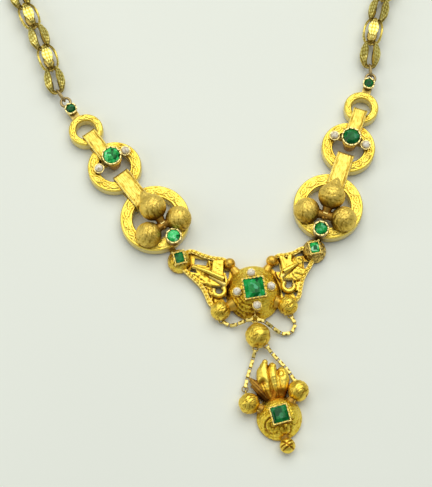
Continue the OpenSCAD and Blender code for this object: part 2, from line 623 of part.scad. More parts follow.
// Open cage of four leaf-shaped arms that meet in a small pad at either end, along X
module cage_link() {
    rows = 8;
    half = cage_l / 2;
    pad = 0.34;
    // Outer surface at a share t of the way from end to end, and the arm's width there
    function profile(t) = [-half * cos(180 * t), cage_w / 2 * pow(abs(sin(180 * t)), 0.65)];
    function arm_w(t) = pad + (cage_arm_w - pad) * pow(abs(sin(180 * t)), 5);
    ts = [0, 0.06, 0.17, 0.33, 0.5, 0.67, 0.83, 0.94, 1];
    function station(k, i) = let (p = profile(ts[i]), end = i == 0 || i == rows,
        w = arm_w(ts[i]) / 2, t = cage_arm_t,
        outer = end ? w : p[1], inner = end ? w : p[1] - t * (0.35 + 0.65 * sin(180 * ts[i])),
        x_in = p[0] + (ts[i] < 0.5 ? 1 : -1) * t * abs(cos(180 * ts[i])))
        [for (q = [[p[0], -w, outer], [p[0], w, outer], [x_in, w, inner], [x_in, -w, inner]])
            [q[0], q[1] * cos(90 * k) - q[2] * sin(90 * k), q[1] * sin(90 * k) + q[2] * cos(90 * k)]];
    points = [for (k = [0 : 3]) for (i = [0 : rows]) each station(k, i)];
    // The end corners of neighbouring arms are the same points
    function shared(k, i, j) = j == 1 ? [(k + 3) % 4, i, 0] : j == 2 ? [(k + 3) % 4, i, 3] : [k, i, j];
    function index(k, i, j) = let (c = i == 0 || i == rows ? shared(k, i, j) : [k, i, j])
        (c[0] * (rows + 1) + c[1]) * 4 + c[2];
    arms = [for (k = [0 : 3]) for (i = [0 : rows - 1]) for (j = [0 : 3])
        [index(k, i, j), index(k, i + 1, j), index(k, i + 1, (j + 1) % 4), index(k, i, (j + 1) % 4)]];
    pads = [for (i = [0, rows]) for (j = [0, 3])
        let (ring = [for (k = [0 : 3]) index(k, i, j)]) (i == 0) == (j == 0) ? ring : reversed(ring)];
    polyhedron(points, concat(arms, pads));
}

module neck_chain(side) color(gold) placed()
    for (i = side == LEFT ? [0 : neck_mid - 1] : [neck_mid + 1 : cage_places - 1])
        translate(lifted(neck_places[i], chain_z)) rotate([0, 0, neck_headings[i]])
            rotate([i % 2 == 0 ? 45 : 0, 0, 0]) cage_link();

// Plain barrel clasp with an eye at either end
module clasp() color(gold) placed() {
    barrel = 4.4;
    r = 1.15;
    reach = neck_pitch - cage_l / 2 + cage_arm_t + hook_room + jump_wire / 2 - r;
    at(neck_places[neck_mid], neck_headings[neck_mid]) translate([0, 0, chain_z]) {
        rotate([0, 90, 0]) cylinder(d = clasp_d, h = barrel, center = true);
        for (end = [-1, 1]) translate([end * reach, 0, 0]) rotate([90, 0, 0]) wire_ring(r, jump_wire);
    }
}

// One rectangular fine link between two joints
module fine_link(from, to, upright) {
    run = to - from;
    length = norm(run) + 2 * fine_wire + 0.16;
    rise = asin(run[2] / norm(run));
    translate((from + to) / 2) rotate([0, -rise, heading(from, to)]) rotate([upright ? 90 : 0, 0, 0])
        difference() {
            cube([length, fine_w, fine_wire], center = true);
            cube([length - 2 * fine_wire, fine_w - 2 * fine_wire, 1], center = true);
        }
}

// A route whose ends move from the middle of an eye or ring to its wire, at the given reaches
function moved(from, to, reach) = from + reach * lifted(to - from, 0) / norm(lifted(to - from, 0));
function hooked(route, near, far) = let (last = len(route) - 1)
    [for (i = [0 : last]) i == 0 ? moved(route[0], route[1], near - hook_gap) :
        i == last ? moved(route[last], route[last - 1], far - hook_gap) : route[i]];

// Long and short links by turns along a route, an upright link at either end
module fine_chain(route) {
    points = smooth(route);
    runs = lengths(points);
    total = runs[len(runs) - 1];
    pairs = round((total - fine_long) / (fine_long + fine_short));
    scale_by = total / (pairs * (fine_long + fine_short) + fine_long);
    joints = [for (i = [0 : 2 * pairs + 1])
        along(points, runs, scale_by * (ceil(i / 2) * fine_long + floor(i / 2) * fine_short))];
    for (i = [0 : 2 * pairs]) fine_link(joints[i], joints[i + 1], i % 2 == 0);
}

module swag_chain(side) color(pale_gold) placed()
    fine_chain(hooked(swag_route[side], eye_r - eye_w / 2, swag_ring_r - swag_ring_w / 2));

module drop_chain(side) color(pale_gold) placed() {
    far = side == LEFT ? drop_ring_r - drop_ring_w / 2 : eye_r - eye_w / 2;
    fine_chain(hooked(drop_route[side], eye_r - eye_w / 2, far));
}

module swag_ring() color(gold) placed() translate(swag_ring_place) wire_ring(swag_ring_r, swag_ring_w);

// Ball under the centre dome, with eyes for the ring above and the two drop chains
module swag_ball() color(gold) placed() {
    translate(swag_ball_place) sphere(d = swag_ball_d);
    upright_eye(swag_ring_place - [0, upright_reach, 0]);
    for (place = swag_eye_place) flat_eye(place);
}

module drop_ring() color(pale_gold) placed() translate(on_drop(drop_ring_spot))
    wire_ring(drop_ring_r, drop_ring_w);

// Palmette of raised lobes with curled tips, growing up the drop from its foot
module palmette() at(palmette_foot) for (lobe = lobes) rotate([0, 0, lobe[0]]) {
    neck = lobe[1] - lobe[3] - 0.3;
    translate([0, -0.6, palmette_z]) rotate([-86, 0, 0]) cylinder(r1 = lobe[2], r2 = lobe[3], h = neck + 0.6);
    translate([0, neck, palmette_z + 0.2]) rotate([0, 90, 0]) sphere(r = lobe[3] + 0.15);
    translate([0, lobe[1] - 0.4, palmette_z + 0.5]) rotate([0, 90, 0]) sphere(r = lobe[3] * 0.55);
}

module drop() color(gold) placed() at(drop_place, drop_turn) {
    well = drop_stone_w + 2 * stone_gap;
    difference() {
        union() {
            cylinder(r = drop_r + 0.2, h = 0.8, $fn = 96);
            intersection() {
                translate([0, 0, drop_dome_h - drop_r]) sphere(r = drop_r, $fn = 96);
                translate([-8, -8, 0]) cube([16, 16, 8]);
            }
            square_collet(drop_stone_w, drop_stone_z, 3.6, 3);
        }
        translate([-well / 2, -well / 2, drop_stone_z - 2.4]) cube([well, well, 5]);
    }
    palmette();
    for (x = [-1, 1]) {
        translate([x * drop_ball_spot[0], drop_ball_spot[1], drop_ball_z]) ball(drop_ball_d);
        rotate([0, 0, heading([0, 0], [x * drop_ball_spot[0], drop_ball_spot[1]])])
            translate([3.6, -0.9, 0.6]) cube([3.6, 1.8, 2.2]);
    }
    translate([0, foot_bead_y, foot_bead_d / 2 + 0.02]) ball(foot_bead_d);
    translate([0, -3.8, 1.5]) rotate([90, 0, 0]) cylinder(d = 1.5, h = 2.6, $fn = 32);
    // Eyes on the side balls for the ring and the chain
    upright_eye(drop_hook_spot);
    translate(drop_hook_spot - [0, upright_r, 0]) rotate([90, 0, 0]) cylinder(d = 0.6, h = 1.2, $fn = 24);
    flat_eye(drop_eye_spot);
}

module emerald_drop() color(emerald) placed() at(drop_place, drop_turn) translate([0, 0, drop_stone_z])
    cut_stone([drop_stone_w, drop_stone_w], 8, 0.6, 0.12, 0.5, 0.05);

centre_piece();
emerald_centre();
centre_pearl(1);  // pearl_centre_top
centre_pearl(0);  // pearl_centre_right
centre_pearl(3);  // pearl_centre_bottom
centre_pearl(2);  // pearl_centre_left
emerald_link(LEFT);  // emerald_link_left
emerald_link(RIGHT);  // emerald_link_right
large_ring(LEFT);  // large_ring_left
large_ring(RIGHT);  // large_ring_right
emerald_large(LEFT);  // emerald_large_left
emerald_large(RIGHT);  // emerald_large_right
lower_strap(LEFT);  // lower_strap_left
lower_strap(RIGHT);  // lower_strap_right
middle_ring(LEFT);  // middle_ring_left
middle_ring(RIGHT);  // middle_ring_right
emerald_middle(LEFT);  // emerald_middle_left
emerald_middle(RIGHT);  // emerald_middle_right
pearl_middle(LEFT, 0);  // pearl_middle_left_outer
pearl_middle(LEFT, 1);  // pearl_middle_left_inner
pearl_middle(RIGHT, 1);  // pearl_middle_right_outer
pearl_middle(RIGHT, 0);  // pearl_middle_right_inner
upper_strap(LEFT);  // upper_strap_left
upper_strap(RIGHT);  // upper_strap_right
small_ring(LEFT);  // small_ring_left
small_ring(RIGHT);  // small_ring_right
emerald_end(LEFT);  // emerald_end_left
emerald_end(RIGHT);  // emerald_end_right
jump_ring(LEFT);  // jump_ring_left
jump_ring(RIGHT);  // jump_ring_right
neck_chain(LEFT);  // neck_chain_left
neck_chain(RIGHT);  // neck_chain_right
clasp();
swag_ring();
swag_chain(LEFT);  // swag_chain_left
swag_chain(RIGHT);  // swag_chain_right
swag_ball();
drop_chain(LEFT);  // drop_chain_left
drop_chain(RIGHT);  // drop_chain_right
drop_ring();
drop();
emerald_drop();
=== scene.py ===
"""Looks of the emerald necklace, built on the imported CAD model. Metres, in the model's own frame."""
import math

import bpy
from mathutils import Matrix, Vector, noise


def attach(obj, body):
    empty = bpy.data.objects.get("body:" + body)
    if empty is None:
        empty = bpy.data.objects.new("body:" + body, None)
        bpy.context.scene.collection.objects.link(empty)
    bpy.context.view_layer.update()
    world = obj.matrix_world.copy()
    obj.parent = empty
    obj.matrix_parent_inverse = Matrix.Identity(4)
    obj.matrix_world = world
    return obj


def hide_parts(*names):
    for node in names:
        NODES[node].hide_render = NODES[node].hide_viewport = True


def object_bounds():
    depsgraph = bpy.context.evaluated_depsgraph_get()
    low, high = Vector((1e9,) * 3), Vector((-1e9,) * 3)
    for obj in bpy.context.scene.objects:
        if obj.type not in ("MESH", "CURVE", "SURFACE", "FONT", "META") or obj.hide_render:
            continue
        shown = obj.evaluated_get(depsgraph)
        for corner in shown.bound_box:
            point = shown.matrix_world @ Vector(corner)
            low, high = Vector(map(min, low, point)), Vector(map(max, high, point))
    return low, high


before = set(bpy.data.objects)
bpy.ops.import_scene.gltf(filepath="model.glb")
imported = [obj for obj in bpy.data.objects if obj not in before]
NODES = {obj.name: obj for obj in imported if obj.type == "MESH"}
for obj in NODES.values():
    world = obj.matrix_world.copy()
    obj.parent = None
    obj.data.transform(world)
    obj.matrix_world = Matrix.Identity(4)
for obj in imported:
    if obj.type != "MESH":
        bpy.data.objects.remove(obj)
cad_low, cad_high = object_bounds()

# Places and sizes of the solids, in design millimetres. A pair in brackets is left and right

MM = 0.001
SHIFT = (14.75, -62.35)   # from the design's origin, the middle of the centre dome, to the model's own
LEFT, RIGHT = 0, 1
SIDES = ("left", "right")
SMALL_RING = [(-42.4, 43.2), (27.9, 49.4)]
MIDDLE_RING = [(-34.9, 33.1), (24.3, 38.4)]
LARGE_RING = [(-24.5, 19.3), (18.8, 22.5)]
LINK_DOME = [(-18.3, 8.55), (15.1, 11.2)]
UPPER_BALL = [(-5.9, 7.6), (4.5, 8.3)]
LOWER_BALL = [(-8.25, -4.6), (8.3, -3.25)]
LEAF_BASE = [(-6.6, 1.8), (6.3, 3.6)]
LEAF_TIP = [(-15.2, 6.9), (11.9, 8.7)]
SCROLL = [(-8.5, 0.6), (8.6, 1.9)]
SWAG_BALL = (0.9, -11.05, 2.95)
SWAG_RING = (0.2, -7.1, 3.5)
DROP = (5.9, -31.0)
DROP_TURN = 15.0
CENTRE_TURN = 9.5
RING_TOP = 2.95
STRAP_TOP = 3.75
CROWN = 0.25
CHAIN_Z = 2.475
END_TURN = [34.7, -17.6]
LINK_STONE_TURN = [15.0, 12.0]
# Rings: diameters of the outside and of the hole
SMALL_SIZE, MIDDLE_SIZE, LARGE_SIZE = (8.8, 5.0), (13.6, 8.0), (17.4, 11.2)
# Round stones from the middle of their ring, with y toward the ring above, and the wire loop from its stone
LARGE_STONE = [(0.5, -7.25), (0.2, -7.05)]
MIDDLE_STONE = [(0.7, 1.95), (0.0, 1.95)]
END_STONE = (0, 7.0)
WIRE_LOOP = [2.5, 1.75]
CLEAR = 0.03   # least height of a skin over its solid
SKIRT = 0.16   # how far the outermost edge of a worked face goes down, into the solid


def spot(x, y, z=0.0):
    """A place in design millimetres, as a point of the model in metres."""
    return Vector(((x + SHIFT[0]) * MM, (y + SHIFT[1]) * MM, z * MM))


def seat(place=(0, 0), z=0.0, turn=0.0):
    """Where a piece that was made in millimetres round its own origin goes on the necklace."""
    return (Matrix.Translation(spot(place[0], place[1], z)) @ Matrix.Rotation(math.radians(turn), 4, "Z")
            @ Matrix.Scale(MM, 4))


def heading(start, end):
    return math.degrees(math.atan2(end[1] - start[1], end[0] - start[0]))


def turned(place, angle):
    c, s = math.cos(math.radians(angle)), math.sin(math.radians(angle))
    return (place[0] * c - place[1] * s, place[0] * s + place[1] * c)


def beside(origin, place, angle):
    """A place given in a turned frame, in the design frame."""
    x, y = turned(place, angle)
    return (origin[0] + x, origin[1] + y)


def upward(ring, above):
    """Turn of a ring's own frame, whose y axis points at the ring above it."""
    return heading(ring, above) - 90


def held(share):
    return max(0.0, min(1.0, share))


def smoothstep(x):
    x = held(x)
    return x * x * (3 - 2 * x)


def ridge(x, width):
    return math.exp(-(x / width) ** 2)


def rough_at(x, y, z):
    """Smooth noise at a place, about -1 to 1."""
    return noise.noise(Vector((x, y, z)))


# Camera and light

CAMERA_PLACE = (0.00547, -0.17246, 0.3593)   # 71 degrees above the table
CAMERA_AIM = (0.00547, -0.04874, 0.0)
CAMERA_LENS = 112.36
WARM_WHITE = (1.0, 0.985, 0.95)
SIDE_WHITE = (1.0, 0.98, 0.94)
SKY_WHITE = (0.92, 0.96, 1.0, 1.0)


def set_camera():
    data = bpy.data.cameras.new("camera")
    data.lens = CAMERA_LENS
    data.sensor_width = 36.0
    data.clip_start = 0.01
    data.clip_end = 10.0
    camera = bpy.data.objects.new("camera", data)
    bpy.context.scene.collection.objects.link(camera)
    camera.location = CAMERA_PLACE
    aim = Vector(CAMERA_AIM) - camera.location
    camera.rotation_euler = aim.to_track_quat("-Z", "Y").to_euler()
    bpy.context.scene.camera = camera


def softbox(name, place, target, width, height, power, colour):
    data = bpy.data.lights.new(name, "AREA")
    data.shape = "RECTANGLE"
    data.size = width
    data.size_y = height
    data.energy = power
    data.color = colour
    lamp = bpy.data.objects.new(name, data)
    bpy.context.scene.collection.objects.link(lamp)
    lamp.location = place
    lamp.rotation_euler = (Vector(target) - Vector(place)).to_track_quat("-Z", "Y").to_euler()


def set_light():
    softbox("overhead_softbox", (0.10, 0.40, 0.80), (0, 0.05, 0), 1.2, 1.0, 7.6, WARM_WHITE)
    softbox("left_softbox", (-0.70, -0.10, 0.40), (0, -0.03, 0), 0.30, 0.5, 1.0, SIDE_WHITE)
    world = bpy.data.worlds.new("studio")
    world.use_nodes = True
    background = world.node_tree.nodes["Background"]
    background.inputs["Color"].default_value = SKY_WHITE
    background.inputs["Strength"].default_value = 0.30
    bpy.context.scene.world = world
    bpy.context.scene.view_settings.view_transform = "Standard"


# Materials

BUMP_HEIGHT = 0.0001
# Painted shade: how much the shelter of a place, read by ambient occlusion, deepens its colour
SHELTER_SHADE_SHARE = 0.6      # of the shelter of a place in its tone
PATCH_SHARE = 0.4    # of the soft patches


def new_material(name):
    """A material, its node tree, its shader and the place that patterns are laid on."""
    material = bpy.data.materials.new(name)
    material.use_nodes = True
    tree = material.node_tree
    place = tree.nodes.new("ShaderNodeTexCoord").outputs["Object"]
    return material, tree, tree.nodes["Principled BSDF"], place


def add_node(tree, kind, **values):
    """A node with its sockets and settings filled in by name."""
    node = tree.nodes.new(kind)
    for key, value in values.items():
        if key in node.bl_rna.properties:
            setattr(node, key, value)
        else:
            node.inputs[key.replace("_", " ")].default_value = value
    return node


def ramp(tree, source, stops):
    """A colour ramp of [place, colour] stops, fed by a value."""
    node = tree.nodes.new("ShaderNodeValToRGB")
    while len(node.color_ramp.elements) < len(stops):
        node.color_ramp.elements.new(0.5)
    for element, (place, colour) in zip(node.color_ramp.elements, stops):
        element.position = place
        element.color = (*colour, 1.0)
    tree.links.new(source, node.inputs["Fac"])
    return node.outputs["Color"]


def texture(tree, kind, place, size, **values):
    """A texture whose features have a size in millimetres."""
    node = add_node(tree, kind, Scale=1.0 / (size * MM), **values)
    tree.links.new(place, node.inputs["Vector"])
    return node


def scaled(tree, source, factor, offset=0.0):
    """factor * source + offset"""
    node = add_node(tree, "ShaderNodeMath", operation="MULTIPLY_ADD")
    tree.links.new(source, node.inputs[0])
    node.inputs[1].default_value = factor
    node.inputs[2].default_value = offset
    return node.outputs[0]


def summed(tree, first, second, share=1.0):
    """first + share * second"""
    node = add_node(tree, "ShaderNodeMath", operation="MULTIPLY_ADD")
    tree.links.new(second, node.inputs[0])
    node.inputs[1].default_value = share
    tree.links.new(first, node.inputs[2])
    return node.outputs[0]


def roughened(tree, shader, source, *stops):
    """Lets the roughness follow a value through [place, roughness] stops."""
    greys = [(place, (rough,) * 3) for place, rough in stops]
    tree.links.new(ramp(tree, source, greys), shader.inputs["Roughness"])


def bumped(tree, shader, height, strength):
    bump = add_node(tree, "ShaderNodeBump", Strength=strength, Distance=BUMP_HEIGHT)
    tree.links.new(height, bump.inputs["Height"])
    tree.links.new(bump.outputs["Normal"], shader.inputs["Normal"])


def gold(name, bright, mid, deep, grain=0.35, depth=0.35, rough=(0.3, 0.5), recess=1.5, patch=2.5,
         crest=3.0, speckle=0.4, cells=0.0, hatch=0.0, brushed=None):
    """Worked gold: grainy, with painted shade that deepens its colour in its recesses and between its cells,
    deeper in soft patches, with a painted highlight that brightens its crests, and brighter or deeper where
    the piece's shade (painted light and shade, with the pattern's own tone) is above or below 0. The sizes of
    grain, recess, patch, cells and hatch are in millimetres.
    brushed is the turn of lengthwise lines."""
    material, tree, shader, place = new_material(name)
    link = tree.links.new
    fine = texture(tree, "ShaderNodeTexNoise", place, grain, Detail=3.0, Roughness=0.6).outputs["Fac"]
    wide = texture(tree, "ShaderNodeTexNoise", place, patch, Detail=2.0).outputs["Fac"]
    height = fine
    # Painted shade: ambient occlusion deepens the colour in recesses
    shelter_shade = add_node(tree, "ShaderNodeAmbientOcclusion", samples=6)
    shelter_shade.inputs["Distance"].default_value = recess * MM
    tone = scaled(tree, shelter_shade.outputs["AO"], SHELTER_SHADE_SHARE, (0.45 if cells else 0.2) - 0.5 * crest - 0.5 * speckle)
    tone = summed(tree, tone, wide, PATCH_SHARE)
    tone = summed(tree, tone, fine, speckle)
    # Painted highlight: pointiness brightens the colour on crests
    tone = summed(tree, tone, tree.nodes.new("ShaderNodeNewGeometry").outputs["Pointiness"], crest)
    # The piece's painted light and shade, with its pattern's own tone
    tone = summed(tree, tone, add_node(tree, "ShaderNodeAttribute", attribute_name="shade").outputs["Fac"])
    if cells:
        grains = texture(tree, "ShaderNodeTexVoronoi", place, cells).outputs["Distance"]
        height = summed(tree, height, grains, -1.6)
        # Painted shade: the colour deepens towards the cells' edges, in the pits between the grains
        tone = summed(tree, tone, grains, -0.6)
    if hatch:
        for angle in (35, 125):
            lay = add_node(tree, "ShaderNodeMapping", vector_type="POINT")
            lay.inputs["Rotation"].default_value = (0.5, 0.3, math.radians(angle))
            link(place, lay.inputs["Vector"])
            wave = texture(tree, "ShaderNodeTexWave", lay.outputs["Vector"], hatch / 0.31, Distortion=6.0,
                           Detail=2.0, Detail_Scale=0.6).outputs["Fac"]
            height = summed(tree, height, wave, 0.45)
            tone = summed(tree, tone, wave, 0.08)
    if brushed is not None:
        lay = add_node(tree, "ShaderNodeMapping", vector_type="TEXTURE")
        lay.inputs["Rotation"].default_value = (0, 0, math.radians(brushed))
        lay.inputs["Scale"].default_value = (1.0, 14.0, 1.0)
        link(place, lay.inputs["Vector"])
        lines = texture(tree, "ShaderNodeTexNoise", lay.outputs["Vector"], 0.28, Detail=2.0).outputs["Fac"]
        height = summed(tree, height, lines, 1.4)
        tone = summed(tree, tone, lines, 0.25)
    link(ramp(tree, tone, [(0.4, deep), (0.76, mid), (1.0, bright)]), shader.inputs["Base Color"])
    roughened(tree, shader, fine, (0.3, rough[0]), (0.7, rough[1]))
    bumped(tree, shader, height, depth)
    shader.inputs["Metallic"].default_value = 1.0
    return material


def emerald_glass(name, dark, mid, bright, glint):
    """Clear green stone: flat shards of light and shade inside it, as its cut back throws them."""
    material, tree, shader, place = new_material(name)
    link = tree.links.new
    shards = texture(tree, "ShaderNodeTexVoronoi", place, 1.25, distance="CHEBYCHEV")
    cloud = texture(tree, "ShaderNodeTexNoise", place, 0.8, Detail=3.0).outputs["Fac"]
    shard = tree.nodes.new("ShaderNodeSeparateColor")
    link(shards.outputs["Color"], shard.inputs["Color"])
    tone = summed(tree, scaled(tree, shard.outputs["Red"], 0.7), cloud, 0.6)
    stops = [(0.3, dark), (0.6, mid), (0.85, bright), (0.95, glint)]
    link(ramp(tree, tone, stops), shader.inputs["Base Color"])
    roughened(tree, shader, cloud, (0.3, 0.03), (0.8, 0.10))
    shader.inputs["IOR"].default_value = 1.5
    shader.inputs["Specular IOR Level"].default_value = 0.15
    shader.inputs["Transmission Weight"].default_value = 0.15
    return material


def seed_pearl():
    material, tree, shader, place = new_material("pearl")
    cloud = texture(tree, "ShaderNodeTexNoise", place, 1 / 1.4, Detail=3.0).outputs["Fac"]
    stops = [(0.32, (0.50, 0.38, 0.20)), (0.46, (0.86, 0.78, 0.58)), (0.7, (1.0, 0.97, 0.88))]
    tree.links.new(ramp(tree, cloud, stops), shader.inputs["Base Color"])
    bumped(tree, shader, cloud, 0.3)
    roughened(tree, shader, cloud, (0.2, 0.18), (0.8, 0.34))
    shader.inputs["Coat Weight"].default_value = 0.6
    shader.inputs["Coat Roughness"].default_value = 0.12
    return material


# Finishes: the colour on their crests (painted highlight), between them, and in their recesses (painted
# shade), then their working
BRIGHT = gold("bright_gold", (0.96, 0.73, 0.11), (0.80, 0.53, 0.05), (0.33, 0.15, 0.012),
              depth=0.7, rough=(0.24, 0.44))
CHASED = gold("chased_gold", (0.96, 0.74, 0.13), (0.78, 0.54, 0.055), (0.34, 0.16, 0.012),
              depth=0.6, rough=(0.28, 0.46), recess=0.8, crest=7.0)
RELIEF = gold("relief_gold", (0.97, 0.72, 0.10), (0.76, 0.49, 0.045), (0.26, 0.10, 0.008),
              grain=0.4, rough=(0.3, 0.48), recess=0.9, speckle=0.08)
DOME = gold("stippled_gold", (1.0, 0.76, 0.09), (0.86, 0.56, 0.035), (0.30, 0.13, 0.006),
            grain=0.3, depth=0.9, rough=(0.24, 0.42), patch=3.2, speckle=0.2, cells=0.62)
GRAINS = gold("granulated_gold", (0.99, 0.88, 0.30), (0.70, 0.54, 0.09), (0.20, 0.13, 0.02),
              grain=0.3, depth=0.5, rough=(0.22, 0.4), crest=2.0, speckle=0.15)
LEAF = gold("leaf_gold", (0.98, 0.76, 0.12), (0.80, 0.50, 0.04), (0.36, 0.14, 0.01),
            grain=0.4, depth=0.2, rough=(0.34, 0.48), recess=0.5, crest=0.8, speckle=0.05)
RED = gold("red_gold", (0.84, 0.54, 0.08), (0.58, 0.30, 0.03), (0.20, 0.07, 0.008),
           grain=0.4, depth=0.5, rough=(0.36, 0.52), speckle=0.25)
# A darker brown copy of the gold, for painted shade: the cluster stems between the balls and the drop's
# necks. The palmette's left leaf takes it too, darker all over
BROWN = gold("brown_gold", (0.48, 0.27, 0.045), (0.30, 0.14, 0.02), (0.10, 0.04, 0.006),
             grain=0.4, depth=0.25, rough=(0.42, 0.58), speckle=0.25)
# Painted shade: a darker olive copy of the bright gold, for the right link dome, which lies in shade
SHADED_OLIVE = gold("shaded_olive_gold", (0.80, 0.58, 0.14), (0.34, 0.22, 0.045), (0.08, 0.045, 0.01),
             grain=0.3, depth=0.9, cells=0.7)
PALE = gold("pale_gold", (0.86, 0.72, 0.30), (0.62, 0.47, 0.13), (0.20, 0.11, 0.02),
            grain=0.3, depth=0.4)
DIM = gold("dim_gold", (0.74, 0.57, 0.15), (0.50, 0.36, 0.07), (0.20, 0.11, 0.015),
           grain=0.3, depth=0.4)
DULL = gold("dull_gold", (0.44, 0.33, 0.14), (0.26, 0.17, 0.055), (0.07, 0.04, 0.015),
            grain=0.3, depth=0.4)
LEMON = gold("lemon_gold", (0.92, 0.76, 0.24), (0.60, 0.43, 0.07), (0.13, 0.08, 0.012),
             grain=0.3, depth=0.5, recess=0.6, crest=4.0, speckle=0.2)
MATT = gold("matt_gold", (0.90, 0.67, 0.14), (0.60, 0.41, 0.055), (0.22, 0.12, 0.015),
            grain=0.25, depth=0.55, rough=(0.42, 0.58), crest=2.0, speckle=0.15, hatch=0.7)
EMERALD = emerald_glass("emerald", (0.0, 0.06, 0.012), (0.003, 0.28, 0.04), (0.015, 0.48, 0.09),
                        (0.10, 0.55, 0.25))
EMERALD_DEEP = emerald_glass("deep_emerald", (0.0, 0.075, 0.014), (0.002, 0.13, 0.022), (0.008, 0.25, 0.045),
                             (0.06, 0.30, 0.14))
EMERALD_CLEAR = emerald_glass("clear_emerald", (0.0, 0.12, 0.02), (0.02, 0.56, 0.10), (0.10, 0.92, 0.26),
                              (0.50, 1.0, 0.62))
PEARL = seed_pearl()


def finish_nodes():
    for name, node in NODES.items():
        if name in ("emerald_middle_left", "emerald_large_left", "emerald_link_right"):
            finish = EMERALD_CLEAR
        elif name.startswith(("emerald_end", "emerald_drop", "emerald_middle", "emerald_link")):
            finish = EMERALD_DEEP
        elif name.startswith("emerald"):
            finish = EMERALD
        elif name.startswith("pearl"):
            finish = PEARL
        elif name.startswith(("jump_ring", "drop_ring")):
            finish = DULL
        elif name.startswith(("large_ring", "small_ring", "middle_ring", "lower_strap", "upper_strap")):
            finish = PALE
        else:
            finish = DIM
        node.data.materials.clear()
        node.data.materials.append(finish)


# Work at the bench

def added(primitive, **values):
    """A new primitive of the given sizes, with nothing else selected."""
    deselect()
    primitive(**values)
    return bpy.context.object


def open_mesh():
    """Starts work on the mesh of the piece in hand, with all of it selected."""
    bpy.ops.object.mode_set(mode="EDIT")
    bpy.ops.mesh.select_all(action="SELECT")


def close_mesh():
    bpy.ops.object.mode_set(mode="OBJECT")


def face_outwards():
    open_mesh()
    bpy.ops.mesh.normals_make_consistent(inside=False)
    close_mesh()


def stretched(piece, x, y, z):
    piece.scale = (x, y, z)
    bpy.ops.object.transform_apply(scale=True)
    return piece


def deselect():
    if bpy.context.object is not None and bpy.context.object.mode == "EDIT":
        bpy.ops.object.mode_set(mode="OBJECT")
    bpy.ops.object.select_all(action="DESELECT")


def choose(*pieces):
    deselect()
    for piece in pieces:
        piece.select_set(True)
    bpy.context.view_layer.objects.active = pieces[0]


def put(piece, place):
    """Moves a piece to its place, and keeps the place in its mesh."""
    choose(piece)
    piece.matrix_world = place @ piece.matrix_world
    bpy.ops.object.transform_apply(location=True, rotation=True, scale=True)
    return piece


def joined(pieces):
    choose(*pieces)
    if len(pieces) > 1:
        bpy.ops.object.join()
    bpy.ops.object.transform_apply(location=True, rotation=True, scale=True)
    return bpy.context.object


def copies(model, places):
    """Copies of a modelled shape, one at each place, as one piece. The model itself goes."""
    made = []
    for place in places:
        twin = model.copy()
        twin.data = model.data.copy()
        bpy.context.scene.collection.objects.link(twin)
        twin.matrix_world = place @ model.matrix_world
        made.append(twin)
    bpy.data.objects.remove(model)
    return joined(made)


def mount(piece, name, finish, smooth=40):
    """Names a finished piece, gives it its finish and sets it on the necklace."""
    choose(piece)
    piece.name = name
    piece.data.name = name
    piece.data.materials.clear()
    piece.data.materials.append(finish)
    bpy.ops.object.shade_smooth_by_angle(angle=math.radians(smooth))
    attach(piece, "root")
    return piece


def shaded(piece, tones):
    """Keeps a shade with each point of a piece, the painted light and shade there together with the pattern's
    own tone: above 0 is brighter gold, below 0 is deeper.
    """
    piece.data.attributes.new("shade", "FLOAT", "POINT").data.foreach_set("value", tones)
    return piece


def sculpt(piece, move, shade=None):
    """Moves each point of a piece to where move(x, y, z) says, and shades it by where it was."""
    if shade:
        shaded(piece, [shade(*vertex.co) for vertex in piece.data.vertices])
    for vertex in piece.data.vertices:
        vertex.co = move(*vertex.co)
    piece.data.update()
    return piece


def wire(points, radius, taper=None, round_steps=2, along_steps=2):
    """A drawn wire through five or more points. taper is its thickness at each of them, as a share."""
    path = added(bpy.ops.curve.primitive_nurbs_path_add)
    line = path.data.splines[0]
    line.points.add(len(points) - len(line.points))
    for point, place, share in zip(line.points, points, taper or [1.0] * len(points)):
        point.co = (place[0], place[1], place[2], 1.0)
        point.radius = share
    line.order_u = 3
    line.use_endpoint_u = True
    line.resolution_u = along_steps
    path.data.bevel_depth = radius
    path.data.bevel_resolution = round_steps
    path.data.use_fill_caps = True
    bpy.ops.object.convert(target="MESH")
    return bpy.context.object


def curve_through(route, steps=6):
    """Points of a smooth line through a route, in as many dimensions as it has."""
    points = []
    count = len(route)
    for i in range(count - 1):
        b, c = route[i], route[i + 1]
        a = route[i - 1] if i > 0 else [2 * p - q for p, q in zip(b, c)]
        d = route[i + 2] if i + 2 < count else [2 * q - p for p, q in zip(b, c)]
        for k in range(steps):
            t = k / steps
            points.append([0.5 * (2 * q + (r - p) * t + (2 * p - 5 * q + 4 * r - s) * t * t
                                  + (3 * q - p - 3 * r + s) * t ** 3) for p, q, r, s in zip(a, b, c, d)])
    points.append(list(route[-1]))
    return points


def runs_of(points):
    runs = [0.0]
    for a, b in zip(points, points[1:]):
        runs.append(runs[-1] + math.dist(a, b))
    return runs


def point_at(points, runs, s):
    i = max(k for k in range(len(runs) - 1) if k == 0 or runs[k] <= s)
    t = (s - runs[i]) / (runs[i + 1] - runs[i])
    return [a + (b - a) * t for a, b in zip(points[i], points[i + 1])]


